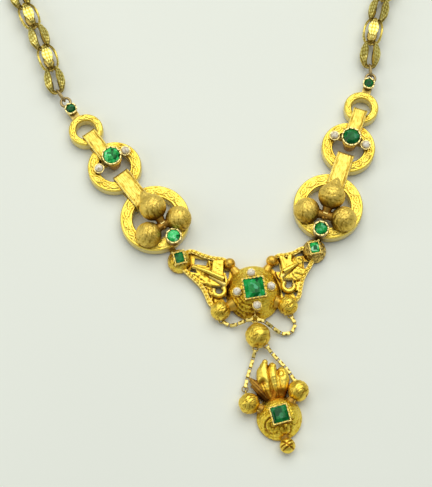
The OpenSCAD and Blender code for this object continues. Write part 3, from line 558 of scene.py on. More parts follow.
def corded(route, z, radius, pitch):
    """Two wires twisted together along a route, lying at height z."""
    line = curve_through(route, 8)
    runs = runs_of(line)
    steps, near = 8, 0.05   # points a turn, and how far off the direction is read
    count = max(12, round(runs[-1] / pitch * steps))
    wires = []
    for strand in (0, math.pi):
        points = []
        for i in range(count + 1):
            s = runs[-1] * i / count
            x, y = point_at(line, runs, s)
            u, v = point_at(line, runs, min(s + near, runs[-1]))
            p, q = point_at(line, runs, max(s - near, 0.0))
            length = math.hypot(u - p, v - q)
            side = ((q - v) / length, (u - p) / length)
            angle = strand + 2 * math.pi * s / pitch
            off = radius * math.cos(angle)
            points.append((x + side[0] * off, y + side[1] * off, z + radius * math.sin(angle)))
        wires.append(wire(points, radius * 1.08, round_steps=1, along_steps=1))
    return joined(wires)


def bead(radius, squash=1.0):
    ball = added(bpy.ops.mesh.primitive_ico_sphere_add, subdivisions=2, radius=radius)
    return stretched(ball, 1.0, 1.0, squash)


# Rings: raised borders with a band of scrolling leaves between them

STEP_AROUND, STEP_ACROSS = 0.15, 0.13   # of a worked face's mesh
FACE_CLEAR = 0.04                       # least height of a worked face over its solid
BORDER_RISE, LEAF_RISE, GROOVE_DEPTH = 0.17, 0.2, 0.02
LEAF_BAND = 0.74                        # share of a face's width that the leaves take
LOW_SHARE = 0.25                        # of the relief, left under a strap
LOW_HALF = 2.1                          # half width of the low place


def scrolling_leaves(s, v, period):
    """Height, 0 to 1, of a leaf scroll at s millimetres along its band and v from -1 to 1 across it."""
    turn_no = math.floor(s / period)
    hand = 1 if turn_no % 2 == 0 else -1
    du = (s / period - turn_no - 0.5) * 2.0
    dv = v - 0.18 * hand
    far = math.hypot(du * 0.95, dv)
    angle = math.atan2(dv * hand, du)
    curl = 0.5 + 0.5 * math.sin(2 * math.pi * far * 1.75 - angle + 0.9)
    lobes = 0.5 + 0.5 * math.cos(6 * angle + 5 * far)
    stem = ridge(v - 0.55 * math.sin(math.pi * s / period), 0.16)
    return max(0.75 * curl * (0.55 + 0.45 * lobes), stem) * (1 - 0.5 * v * v)


def ring_face(name, place, size, straps, period, deeper=0.0):
    """Worked top of a ring. straps are the directions in which it stays low, under a strap."""
    outer, inner = size[0] / 2 - 0.06, size[1] / 2 + 0.02
    middle, half = (outer + inner) / 2, (outer - inner) / 2
    around = round(2 * math.pi * middle / STEP_AROUND)
    rows = round((outer - inner) / STEP_ACROSS)
    face = added(bpy.ops.mesh.primitive_circle_add, vertices=around, radius=outer)
    open_mesh()
    for row in range(rows):
        now = outer - (outer - inner) * row / rows
        after = outer - (outer - inner) * (row + 1) / rows
        bpy.ops.mesh.extrude_edges_move()
        bpy.ops.transform.resize(value=(after / now, after / now, 1))
    close_mesh()
    face_outwards()
    period = 2 * math.pi * middle / (2 * round(2 * math.pi * middle / period / 2))

    def raised(x, y, z):
        r, angle = math.hypot(x, y), math.atan2(y, x)
        v = (r - middle) / half
        t = held((size[0] / 2 - 0.2 - r) / ((size[0] - size[1]) / 2 - 0.4))
        crown = RING_TOP + CROWN * (1 - (2 * t - 1) ** 2)
        if abs(v) > 0.995:
            return (x, y, crown - SKIRT)
        rim = ridge(outer - 0.26 - r, 0.17) + 0.9 * ridge(r - inner - 0.24, 0.15)
        groove = ridge(outer - 0.56 - r, 0.09) + ridge(r - inner - 0.5, 0.09)
        band = smoothstep((LEAF_BAND - abs(v)) / 0.12)
        leaves = scrolling_leaves(angle * middle, v / LEAF_BAND, period) if band > 0 else 0.0
        low = 1.0
        for direction in straps:
            off = abs((math.degrees(angle) - direction + 180) % 360 - 180)
            free = smoothstep((math.radians(off) * r - LOW_HALF) / 0.5)
            low = min(low, LOW_SHARE + (1 - LOW_SHARE) * free)
        relief_rise = BORDER_RISE * rim + LEAF_RISE * band * leaves - GROOVE_DEPTH * groove
        return (x, y, crown + FACE_CLEAR + low * relief_rise)

    sculpt(face, raised, lambda x, y, z: 0.3 * rough_at(x * 0.5, y * 0.5, size[0]) - deeper)
    return mount(put(face, seat(place)), name, CHASED, smooth=60)


def make_ring_faces():
    for side, small, middle, large, dome in zip(SIDES, SMALL_RING, MIDDLE_RING, LARGE_RING, LINK_DOME):
        ring_face(f"small_ring_face_{side}", small, SMALL_SIZE, [heading(small, middle)], 1.9)
        ring_face(f"middle_ring_face_{side}", middle, MIDDLE_SIZE,
                  [heading(middle, small), heading(middle, large)], 2.6, 0.16)
        ring_face(f"large_ring_face_{side}", large, LARGE_SIZE,
                  [heading(large, middle), heading(large, dome)], 2.9)


# Straps: brushed lengthwise between two bright borders

STRAP_BEND = 0.8
STRAP_DROP = 0.5   # how far a strap's face goes straight down past its bends
STRAP_BORDER, STRAP_LINES, STRAP_NOTCH = 0.13, 0.07, 0.14
UPPER_STRAP, LOWER_STRAP = (3.6, 8.7), (4.3, 10.4)   # width and length
UPPER_START, LOWER_START = [1.02, 0.6], [2.4, 1.95]


def strap_face(name, origin, end, start, width, length, notch):
    """Worked top of a strap and of the bends at its ends. start is how far up from its origin it begins."""
    turn = upward(origin, end)
    bend = STRAP_BEND
    face = added(bpy.ops.mesh.primitive_grid_add, x_subdivisions=24, y_subdivisions=round(length / 0.2),
                 size=2)
    flat = length - 2 * bend
    over = bend * math.pi / 2 + STRAP_DROP
    total = flat + 2 * over

    def laid(x, y, z):
        w = x * (width / 2 + CLEAR)
        s = (y + 1) / 2 * total - over
        border = ridge(width / 2 - 0.22 - abs(w), 0.16)
        lines = 0.5 + 0.5 * rough_at(w * 5.2, s * 0.5, 3.0)
        rise = FACE_CLEAR + STRAP_BORDER * border
        if abs(x) < 0.999:
            rise += STRAP_LINES * lines * (1 - border)
        if notch:
            rise += STRAP_NOTCH * ridge(flat - s - 0.3 - 1.15 * (1 - abs(w) / (width / 2)) * 1.6, 0.2)
        past = max(-s, s - flat)
        if past > 0:
            # Round the bend, and straight down from there
            a = min(past / bend, math.pi / 2)
            out, drop = (bend + rise) * math.sin(a), max(0.0, past - bend * math.pi / 2)
            along = bend - out if s < 0 else bend + flat + out
            up = STRAP_TOP - bend + (bend + rise) * math.cos(a) - drop
        else:
            along, up = bend + s, STRAP_TOP + rise
        if abs(x) > 0.999:
            up -= SKIRT
        return (w, along + start, up)

    def shade(x, y, z):
        w, s = x * width / 2, (y + 1) / 2 * total - over
        lines = rough_at(w * 5.2, s * 0.5, 3.0) + 0.6 * rough_at(w * 2.0, s * 1.3, 8.0)
        edges = ridge(width / 2 - 0.5 - abs(w), 0.18)
        # Painted shade: darker just inside each border, and more on its left side, away from the light
        return 0.42 * lines - 0.2 - 0.3 * edges - 0.18 * smoothstep((-x - 0.2) / 0.6)

    sculpt(face, laid, shade)
    choose(face)
    face_outwards()
    finish = gold(name + "_gold", (0.88, 0.70, 0.15), (0.66, 0.47, 0.07), (0.30, 0.17, 0.02), grain=0.3,
                  depth=0.8, rough=(0.32, 0.5), brushed=turn)
    return mount(put(face, seat(origin, 0, turn)), name, finish, smooth=60)


def make_strap_faces():
    for side in (LEFT, RIGHT):
        small, middle, large = SMALL_RING[side], MIDDLE_RING[side], LARGE_RING[side]
        strap_face(f"upper_strap_face_{SIDES[side]}", small, middle, UPPER_START[side], *UPPER_STRAP, False)
        strap_face(f"lower_strap_face_{SIDES[side]}", middle, large, LOWER_START[side], *LOWER_STRAP, True)


# Matt balls in the large rings

BALL_BANDS = (38, 61, 84)   # degrees from the ball's axis to its engraved bands
CLUSTER_Z, CLUSTER_BALL = RING_TOP + 1.35, 6.2
TOP_BALL_Z, CLUSTER_TOP = RING_TOP + 2.85, 6.4
TOP_BALL = [(0.7, 1.7), (0.15, 1.75)]
RIGHT_BALL = [(4.3, -4.1), (4.7, -2.6)]
LEFT_BALL = [(-4.1, -3.0), (-4.6, -3.4)]
JOINT = [(0.4, -3.0), (0.0, -3.0)]


def degrees_apart(way, axis):
    return math.degrees(math.acos(max(-1, min(1, way.dot(axis)))))


def matt_ball(name, ring, turn, place, z, diameter, peak, seed):
    """Hatched ball, with engraved bands. A peak draws it out to a point up the neck."""
    ball = added(bpy.ops.mesh.primitive_uv_sphere_add, segments=80, ring_count=48, radius=diameter / 2)
    tip = Vector((0, math.sin(math.radians(78)), math.cos(math.radians(78))))
    axis = Vector((math.sin(seed), math.cos(seed * 1.7), 0.6)).normalized()
    inner = Vector((0.2 - place[0], -3.0 - place[1], -1.0)).normalized()

    def bands(way, width):
        wander = 9 * noise.noise(way * 3.1 + Vector((seed, 0, 0)))
        return sum(ridge(degrees_apart(way, axis) - band - wander, width) for band in BALL_BANDS)

    def leaf_at(way):
        return (noise.noise(way * 1.6 + Vector((0, 0, seed * 2))) % 0.3) / 0.3

    def worked(x, y, z):
        way = Vector((x, y, z)).normalized()
        rise = 0.08 - 0.09 * bands(way, 2.6) + 0.10 * leaf_at(way)
        rise += 0.02 * noise.noise(way * 9 + Vector((0, seed, 0)))
        rise += 0.02 * noise.noise(way * 3.1 + Vector((seed, 0, 0)))
        if peak:
            off = degrees_apart(way, tip)
            rise += 1.5 * ridge(off, 17.0)
            rise += 0.06 * math.cos(way.x * 9 * 2.2) * smoothstep((75 - off) / 40)
        return way * (diameter / 2 + max(CLEAR, rise))

    def shade(x, y, z):
        way = Vector((x, y, z)).normalized()
        leaf = leaf_at(way)
        # Painted light and shade: lighter towards the ring above and towards the top, darker in its engraved
        # bands and on its side towards the joint between the balls
        tone = 0.30 * way.y + 0.10 * way.z - 0.12 + 0.12 * noise.noise(way * 6 + Vector((0, 0, seed)))
        tone -= 0.26 * bands(way, 2.8) + 0.4 * smoothstep((way.dot(inner) - 0.25) / 0.6)
        return tone + 0.14 * leaf - 0.16 * smoothstep((0.2 - leaf) / 0.2)

    sculpt(ball, worked, shade)
    return mount(put(ball, seat(beside(ring, place, turn), z, turn)), name, MATT, smooth=80)


def stem(start, end, thick, thin):
    """Round tapered stem between two places, in millimetres."""
    points = [[a + (b - a) * k / 5 for a, b in zip(start, end)] for k in range(6)]
    taper = [1.0 + (thin / thick - 1.0) * k / 5 for k in range(6)]
    return wire(points, thick, taper, round_steps=3)


def make_clusters():
    for side in (LEFT, RIGHT):
        s = SIDES[side]
        ring = LARGE_RING[side]
        turn = upward(ring, MIDDLE_RING[side])
        right, left, top = RIGHT_BALL[side], LEFT_BALL[side], TOP_BALL[side]
        matt_ball(f"cluster_ball_right_{s}", ring, turn, right, CLUSTER_Z, CLUSTER_BALL, False, 1.3 + side)
        matt_ball(f"cluster_ball_left_{s}", ring, turn, left, CLUSTER_Z, CLUSTER_BALL, False, 4.1 + side)
        matt_ball(f"cluster_ball_top_{s}", ring, turn, top, TOP_BALL_Z, CLUSTER_TOP, True, 2.2 + side)
        # Stems from the joint out to the balls, with a knot of petals between them
        stems = []
        cx, cy = JOINT[side]
        for place, tall in ((right, 0.0), (left, 0.0), (top, 0.9)):
            far = math.dist(place, (cx, cy))
            share = (far - 2.1) / far
            end = (cx + (place[0] - cx) * share, cy + (place[1] - cy) * share, CLUSTER_Z + tall)
            stems.append(stem((cx, cy, CLUSTER_Z - 0.2), end, 0.95, 1.4))
        for k in range(7):
            knob = bead(0.42)
            knob.location = (cx + 0.95 * math.cos(k * 0.9), cy + 0.95 * math.sin(k * 0.9), CLUSTER_Z + 0.15)
            stems.append(knob)
        # Painted shade: the stems and knot take the dark brown gold, for the shade between the balls
        mount(put(joined(stems), seat(ring, 0, turn)), f"cluster_stem_{s}", BROWN, smooth=60)


# Domes and the balls round them

# Skins of the domes: radius, height of the middle and outer radius of the base band
CENTRE_SKIN, DROP_SKIN, LINK_SKIN = (6.36, -0.05, 6.6), (5.12, 0.0, 5.3), (2.81, 0.9, 2.8)
# Balls: height of the middle and diameter
LOWER_SIZE, UPPER_SIZE, DROP_BALL_SIZE = (2.27, 4.5), (2.05, 2.7), (2.4, 4.8)
SWAG_BALL_D = 5.8
DROP_BALL = [(-6.1, 5.0), (6.1, 5.0)]   # in the drop's own frame, as its foot bead
FOOT_BEAD = (0, -7.1)


def dome_skin(name, place, turn, radius, centre_z, band, worked, finish=DOME):
    """Worked skin over a dome and its base band, whose outer radius is band. worked(way, azimuth, reach)
    is the height of its pattern and its shade."""
    foot_z, flare, flare_top = 0.12, 0.9, 0.95
    skin = added(bpy.ops.mesh.primitive_uv_sphere_add, segments=176, ring_count=110, radius=radius)
    open_mesh()
    bpy.ops.mesh.bisect(plane_co=(0, 0, foot_z - centre_z), plane_no=(0, 0, 1), clear_inner=True)
    close_mesh()

    def pattern(x, y, z):
        way = Vector((x, y, z)).normalized()
        return way, *worked(way, math.degrees(math.atan2(y, x)) % 360, math.hypot(x, y))

    def shaped(x, y, z):
        way, rise, _ = pattern(x, y, z)
        rise = max(CLEAR, 0.2 + rise)
        point = way * (radius + rise)
        now = math.hypot(point.x, point.y)
        want = band + 0.05 + 0.5 * rise
        share = smoothstep((flare_top + flare - z - centre_z) / flare)
        if now > 0.1 and share > 0 and want > now:
            grown = (now + (want - now) * share) / now
            point.x, point.y = point.x * grown, point.y * grown
        return point

    sculpt(skin, shaped, lambda x, y, z: pattern(x, y, z)[2])
    return mount(put(skin, seat(place, centre_z, turn)), name, finish, smooth=80)


def between(azimuth, start, end, soft):
    """1 between two azimuths, falling softly to 0 at them."""
    return smoothstep((azimuth - start) / soft) * smoothstep((end - azimuth) / soft)


def centre_pattern(way, azimuth, reach):
    arcs = between(azimuth, 190, 290, 15) * smoothstep((reach - 2.8) / 0.6)
    cut = 0.5 + 0.5 * math.cos(reach * 2 * math.pi / 0.8 + 2.2 * noise.noise(way * 2.2))
    grainy = noise.noise(way * 15) * 0.05 + noise.noise(way * 8) * 0.04
    rings = math.cos(reach * 2 * math.pi / 0.5 + 3 * noise.noise(way * 3)) * (1 - arcs)
    low = smoothstep((-way.x - way.y - 0.35) / 0.5)
    shoulder = between(azimuth, 25, 160, 30) * smoothstep((reach - 4.9) / 1.3)
    # Painted light and shade: lighter towards +y, where the light falls, darker to the lower left and in the
    # cut arcs
    tone = 0.04 + 0.08 * way.y + 0.25 * noise.noise(way * 12) + 0.07 * rings - 0.32 * arcs * cut
    tone -= 0.10 * low
    return grainy - 0.15 * arcs * cut + 0.75 * shoulder, tone


def drop_pattern(way, azimuth, reach):
    rise = noise.noise(way * 13) * 0.05 + noise.noise(way * 7) * 0.04
    # Painted light: lighter towards +x and +y, the side the light falls on
    tone = 0.02 + 0.12 * way.x + 0.06 * way.y + 0.25 * noise.noise(way * 11)
    x, y = way.x * 5.1, way.y * 5.1
    # Curls cut into its lower side, with painted shade in and round them
    for cx, cy, hand, size in ((-2.2, -1.6, 1, 2.3), (0.6, -3.1, -1, 1.8), (2.6, -2.0, 1, 1.2)):
        far = math.hypot(x - cx, y - cy)
        angle = math.atan2((y - cy) * hand, x - cx)
        curl = (0.5 + 0.5 * math.cos(2 * math.pi * far / 1.15 - angle)) ** 2 * smoothstep((size - far) / 0.5)
        rise -= 0.15 * curl
        tone -= 0.42 * curl + 0.05 * smoothstep((size - far) / 0.6)
    return rise, tone


def nugget_pattern(seed, depth):
    """Leafy broken surface of the small balls: its height and its shade."""
    def worked(way):
        swirl = Vector((1.1 * (way.x - way.y), 0.45 * (way.x + way.y), 0.6 * way.z))
        a = noise.noise(swirl * 1.9 + Vector((seed, 0, 0)))
        b = noise.noise(swirl * 3.6 + Vector((0, seed, 0)))
        veins = ridge(a, 0.07)
        fine = ridge(b, 0.09)
        # Painted light and shade: lighter towards +y and -x and on its raised parts, darker in its veins
        tone = 0.14 * way.y - 0.10 * way.x + 0.06 + 0.4 * a - 0.38 * veins - 0.14 * fine
        return depth * (0.8 - 0.6 * veins - 0.2 * fine + 0.5 * a), tone
    return worked


def worked_ball(name, place, z_place, diameter, seed, depth=0.24, finish=RELIEF, segments=72):
    ball = added(bpy.ops.mesh.primitive_uv_sphere_add, segments=segments, ring_count=segments // 2 + 8,
                 radius=1)
    worked = nugget_pattern(seed, depth)

    def shaped(x, y, z):
        way = Vector((x, y, z)).normalized()
        point = way * (diameter / 2 + max(CLEAR, worked(way)[0]))
        point.z = max(point.z, CLEAR - z_place)
        return point

    sculpt(ball, shaped, lambda x, y, z: worked(Vector((x, y, z)).normalized())[1])
    return mount(put(ball, seat(place, z_place)), name, finish, smooth=60)


def foot_bead():
    radius, skin, centre_z = 1.7, 0.17, 1.72
    ball = added(bpy.ops.mesh.primitive_uv_sphere_add, segments=56, ring_count=36, radius=radius)

    def cut(x, y, z):
        """Depth of the crossed grooves, as a share."""
        way = Vector((x, y, z)).normalized()
        depth = 0.0
        for angle, off in ((20, 0.25), (20, -0.25), (130, 0.0)):
            side = way.x * math.sin(math.radians(angle)) - way.y * math.cos(math.radians(angle))
            depth = max(depth, ridge(side - off, 0.15) * smoothstep((way.z - 0.1) / 0.3))
        return depth

    def shaped(x, y, z):
        point = Vector((x, y, z)).normalized() * (radius + skin - 0.14 * cut(x, y, z))
        point.z = max(point.z, CLEAR - centre_z)
        return point

    # Painted shade: darker in its crossed grooves
    sculpt(ball, shaped, lambda x, y, z: 0.05 - 0.7 * cut(x, y, z))
    place = beside(DROP, FOOT_BEAD, DROP_TURN)
    return mount(put(ball, seat(place, centre_z, DROP_TURN)), "foot_bead_skin", RELIEF, smooth=60)


def speckled(side):
    """Speckles of the small link domes. The left one has painted shade on its outer side."""
    def worked(way, azimuth, reach):
        spots = noise.noise(way * 6 + Vector((side * 3, 0, 0)))
        dim = 0.3 * smoothstep((-way.x - 0.1) / 0.6) if side == LEFT else 0.0
        return spots * 0.06, 0.5 * spots - dim
    return worked


def make_domes():
    dome_skin("centre_dome_skin", (0, 0), 0, *CENTRE_SKIN, centre_pattern)
    dome_skin("drop_dome_skin", DROP, DROP_TURN, *DROP_SKIN, drop_pattern)
    for side in (LEFT, RIGHT):
        s = SIDES[side]
        # The right link dome takes the darker olive copy of the gold: painted shade
        finish = (BRIGHT, SHADED_OLIVE)[side]
        dome_skin(f"link_dome_skin_{s}", LINK_DOME[side], 0, *LINK_SKIN, speckled(side), finish)
        worked_ball(f"lower_ball_skin_{s}", LOWER_BALL[side], *LOWER_SIZE, 3.0 + side)
        worked_ball(f"upper_ball_skin_{s}", UPPER_BALL[side], *UPPER_SIZE, 9.0 + side, 0.06, RED, 40)
        place = beside(DROP, DROP_BALL[side], DROP_TURN)
        worked_ball(f"drop_ball_skin_{s}", place, *DROP_BALL_SIZE, 5.5 + side)
    worked_ball("swag_ball_skin", SWAG_BALL[:2], SWAG_BALL[2], SWAG_BALL_D, 7.7)
    foot_bead()
    make_necks()


def make_necks():
    """Short necks between the domes and their balls."""
    necks = []
    for side in (LEFT, RIGHT):
        for (x, y), z, thick in ((UPPER_BALL[side], 1.6, 1.55), (LOWER_BALL[side], 1.9, 1.7)):
            length = math.hypot(x, y)
            inner, outer = 5.6 / length, (length - 1.2) / length
            necks.append(stem((x * inner, y * inner, z), (x * outer, y * outer, z), thick, thick * 0.55))
    mount(put(joined(necks), seat()), "ball_necks", RED, smooth=60)
    necks = [stem((hand * 3.4, 2.8, 1.9), (hand * 5.2, 4.25, 2.0), 1.35, 0.95) for hand in (-1, 1)]
    necks.append(stem((0, -4.6, 1.5), (0, -5.9, 1.6), 1.1, 0.75))
    # Painted shade: the drop's necks take the dark brown gold, for the shade between the dome and its balls
    mount(put(joined(necks), seat(DROP, 0, DROP_TURN)), "drop_necks", BROWN, smooth=60)


# Settings

# Claws evenly round a stone or a pearl: how many, how far out, how high, and where the first one is
LARGE_CLAWS, MIDDLE_CLAWS, END_CLAWS = (9, 1.86, 5.4, 0.0), (12, 2.34, 5.72, 0.0), (7, 1.42, 3.5, 0.0)
DOME_PEARL_CLAWS, BAR_PEARL_CLAWS = (6, 1.0, 5.85, 0.4), (6, 1.12, 4.75, 0.2)
DOME_PEARL = (4.2, 0)
BAR_PEARLS = [((-3.6, 1.45), (4.5, 1.45)), ((-4.2, 1.45), (4.0, 1.45))]
# Square stones: place, turn, half width over the wall, height of the claws, claws a side
SQUARE_STONES = [((0, 0), CENTRE_TURN, 2.55, 6.8, 5), (DROP, DROP_TURN, 2.08, 5.45, 3)]
OBLONG_CLAW_Z = 4.12
# Claws of the small oblong stones
OBLONG_CLAWS = [(1.32, 1.55), (0.45, 1.62), (-0.45, 1.62), (-1.32, 1.55), (1.38, 0.55), (1.38, -0.55),
                (-1.38, 0.55), (-1.38, -0.55), (1.32, -1.55), (0.45, -1.62), (-0.45, -1.62), (-1.32, -1.55)]


def make_cups():
    """Cups of the round stones: dull round the large rings' own, red gold in the middle rings' openings."""
    for side in (LEFT, RIGHT):
        x, y = LARGE_STONE[side]
        cup = added(bpy.ops.mesh.primitive_cone_add, vertices=48, radius1=1.96, radius2=2.04, depth=1.9,
                    location=(x, y, 4.25), end_fill_type="NOTHING")
        bpy.ops.object.modifier_add(type="SOLIDIFY")
        cup.modifiers[0].thickness = 0.06
        bpy.ops.object.modifier_apply(modifier=cup.modifiers[0].name)
        put(cup, seat(LARGE_RING[side], 0, upward(LARGE_RING[side], MIDDLE_RING[side])))
        mount(cup, f"large_stone_cup_{SIDES[side]}", DULL, smooth=50)
        x, y = MIDDLE_STONE[side]
        cup = added(bpy.ops.mesh.primitive_cone_add, vertices=40, radius1=1.5, radius2=2.1, depth=4.2,
                    location=(x, y - 0.7, 2.75))
        open_mesh()
        bpy.ops.mesh.bevel(offset=0.25, segments=3, affect="EDGES")
        close_mesh()
        put(cup, seat(MIDDLE_RING[side], 0, upward(MIDDLE_RING[side], SMALL_RING[side])))
        mount(cup, f"stone_cup_{SIDES[side]}", RED, smooth=50)


def claw_ring(origin, centre, angle, count, radius, z, start):
    """Seats of claws evenly round a stone, whose centre is given in a turned frame."""
    seats = []
    for i in range(count):
        a = start + i * 2 * math.pi / count
        place = (centre[0] + radius * math.cos(a), centre[1] + radius * math.sin(a))
        seats.append(seat(beside(origin, place, angle), z))
    return seats


def make_claws():
    """Claws and beads round every stone and pearl."""
    seats = []
    for origin, turn, reach, z, count in SQUARE_STONES:
        for quarter in range(4):
            for i in range(count):
                along = (i + 0.5 - count / 2) * 2 * reach / (count + 0.15)
                seats.append(seat(beside(origin, (along, reach), turn + 90 * quarter), z))
    mount(copies(bead(0.22, 1.3), seats), "square_stone_claws", PALE, smooth=60)

    seats = []
    for side in (LEFT, RIGHT):
        for place in OBLONG_CLAWS:
            seats.append(seat(beside(LINK_DOME[side], place, LINK_STONE_TURN[side]), OBLONG_CLAW_Z))
        small, middle, large = SMALL_RING[side], MIDDLE_RING[side], LARGE_RING[side]
        seats += claw_ring(large, LARGE_STONE[side], upward(large, middle), *LARGE_CLAWS)
        seats += claw_ring(middle, MIDDLE_STONE[side], upward(middle, small), *MIDDLE_CLAWS)
        seats += claw_ring(small, END_STONE, END_TURN[side], *END_CLAWS)
    mount(copies(bead(0.2, 1.2), seats), "round_stone_claws", PALE, smooth=60)

    seats = []
    for quarter in range(4):
        pearl = turned(DOME_PEARL, CENTRE_TURN + 90 * quarter)
        seats += claw_ring(pearl, (0, 0), 0, *DOME_PEARL_CLAWS)
    for side in (LEFT, RIGHT):
        middle = MIDDLE_RING[side]
        for pearl in BAR_PEARLS[side]:
            seats += claw_ring(middle, pearl, upward(middle, SMALL_RING[side]), *BAR_PEARL_CLAWS)
    mount(copies(bead(0.15, 1.3), seats), "pearl_claws", PALE, smooth=60)


# Wings: pierced relief between two corded wires

UPPER_STRAND = [
    [(-18.3, 9.6), (-15.6, 10.9), (-12.8, 9.9), (-10.2, 9.1), (-7.8, 8.8), (-5.9, 7.9)],
    [(15.1, 12.0), (12.0, 11.6), (10.1, 10.5), (7.9, 9.9), (6.1, 9.7), (4.5, 8.5)]]
LOWER_STRAND = [
    [(-18.6, 7.6), (-16.6, 5.6), (-14.8, 3.9), (-12.9, 1.9), (-11.7, -0.3), (-10.7, -2.6),
     (-8.7, -4.4)],
    [(15.3, 10.2), (14.1, 7.4), (13.0, 5.6), (12.1, 3.7), (11.5, 1.2), (11.0, -0.9), (8.8, -3.0)]]
WINDOWS = [
    [[(-14.5, 9.4), (-11.4, 8.9), (-11.7, 7.5), (-14.6, 7.8)],
     [(-15.7, 6.5), (-14.3, 6.1), (-14.1, 5.2), (-15.6, 5.6)],
     [(-7.3, 6.2), (-5.9, 6.1), (-6.2, 4.2), (-7.1, 3.3)],
     [(-10.3, 1.7), (-7.3, 1.7), (-7.4, 0.6), (-8.5, 0.0), (-9.6, 0.4)],
     [(-7.8, -0.9), (-6.5, -0.6), (-6.8, -2.3)]],
    [[(4.6, 6.8), (6.4, 7.9), (6.6, 5.5), (5.6, 5.6)],
     [(7.3, 3.5), (9.6, 3.6), (9.5, 2.1), (8.6, 1.6), (7.5, 2.0)],
     [(6.7, 1.0), (7.9, 0.3), (7.4, -0.7)],
     [(9.7, 0.4), (10.8, 0.6), (10.5, -1.0)],
     [(12.5, 8.5), (13.8, 8.4), (13.2, 6.7), (12.6, 6.8)],
     [(10.2, 10.2), (12.2, 11.0), (12.3, 10.1), (10.6, 9.5)]]]
PLATE_TOP = 1.1
CORD_Z, CORD_RADIUS = 1.95, 0.25
CLEAR_OF_DOME = 5.9   # nearest that the relief comes to the middle of the centre dome
# Midrib of each leaf, thin at the link dome and thick near the centre, and the thin stem beside the dome
MIDRIB = [
    [(-7.35, 3.45, 2.75), (-9.3, 4.35, 2.85), (-11.2, 5.25, 2.8), (-13.0, 6.05, 2.6), (-14.9, 6.95, 2.2)],
    [(7.5, 5.35, 2.8), (8.3, 5.85, 2.95), (9.1, 6.3, 2.95), (9.9, 6.85, 2.85), (10.8, 7.45, 2.5)]]
THIN_STEM = [
    [(-7.15, 1.6, 2.3), (-6.75, 2.2, 2.5), (-6.75, 3.0, 2.6), (-7.0, 4.0, 2.5), (-7.15, 5.0, 2.1)],
    [(7.3, 2.6, 2.3), (6.9, 3.3, 2.5), (6.8, 4.1, 2.6), (6.9, 5.0, 2.4), (7.0, 5.8, 2.0)]]
# Panels of the wing leaves: corners, height in their middle, slope across and up, hammering, shade (the
# panel's painted light and shade, for how it faces the light)
PANELS = [
    [([(-10.2, 8.5), (-7.2, 8.6), (-7.3, 3.2), (-9.1, 3.9), (-10.7, 4.9)], 2.65, (0.02, 0.03), 0.10, 0.04),
     ([(-11.5, 8.8), (-10.3, 8.4), (-10.7, 4.8), (-11.6, 5.3), (-11.0, 6.9)], 2.25, (0.2, 0.0), 0.08, -0.10),
     ([(-15.4, 7.4), (-14.5, 7.3), (-11.5, 7.2), (-10.7, 4.8), (-14.8, 6.6)], 2.15, (0.0, 0.25), 0.06, -0.14),
     ([(-16.3, 6.0), (-14.9, 6.3), (-10.8, 4.2), (-7.5, 1.9), (-10.0, 1.2), (-11.5, 2.0), (-13.5, 2.4),
       (-15.8, 4.5)], 2.35, (0.05, 0.10), 0.15, 0.0),
     ([(-13.5, 2.4), (-11.5, 2.0), (-10.0, 1.2), (-9.9, -1.1), (-9.5, -3.0), (-10.4, -2.8), (-11.5, -1.1),
       (-12.6, 0.8)], 1.85, (0.0, 0.05), 0.2, -0.06),
     ([(-11.2, 1.3), (-10.0, 1.0), (-9.4, 0.1), (-9.6, -0.9), (-10.6, -0.6), (-11.3, 0.3)], 2.25,
      (0.1, 0.1), 0.2, -0.02)],
    [([(6.0, 9.8), (7.1, 9.8), (8.2, 8.2), (8.1, 6.2), (7.0, 5.1), (6.6, 7.8)], 2.6, (0.16, 0.02),
      0.04, 0.14),
     ([(7.1, 9.8), (8.1, 8.9), (8.5, 9.9), (9.2, 10.3), (9.8, 9.9), (9.6, 8.4), (10.7, 7.5), (8.1, 6.2)],
      2.65, (-0.18, 0.02), 0.08, 0.10),
     ([(10.2, 8.8), (10.7, 9.5), (11.7, 9.6), (12.4, 8.8), (12.3, 7.8), (11.6, 7.2), (10.7, 7.5)], 2.6,
      (-0.1, 0.15), 0.10, 0.12),
     ([(8.2, 5.2), (10.7, 7.2), (12.1, 6.3), (13.1, 6.2), (13.0, 5.1), (12.2, 4.3), (12.0, 3.5), (10.5, 3.1),
       (7.5, 3.6), (7.9, 4.9)], 2.5, (0.02, 0.16), 0.12, 0.10),
     ([(10.5, 3.1), (12.0, 3.5), (11.8, 1.8), (11.2, -0.2), (10.0, -0.2), (10.4, 1.8), (9.7, 2.8)], 2.1,
      (-0.1, 0.0), 0.14, 0.08),
     ([(6.3, 5.0), (7.9, 4.9), (7.5, 3.8), (6.5, 3.4), (6.3, 4.3)], 1.95, (0.0, 0.2), 0.05, -0.35)]]
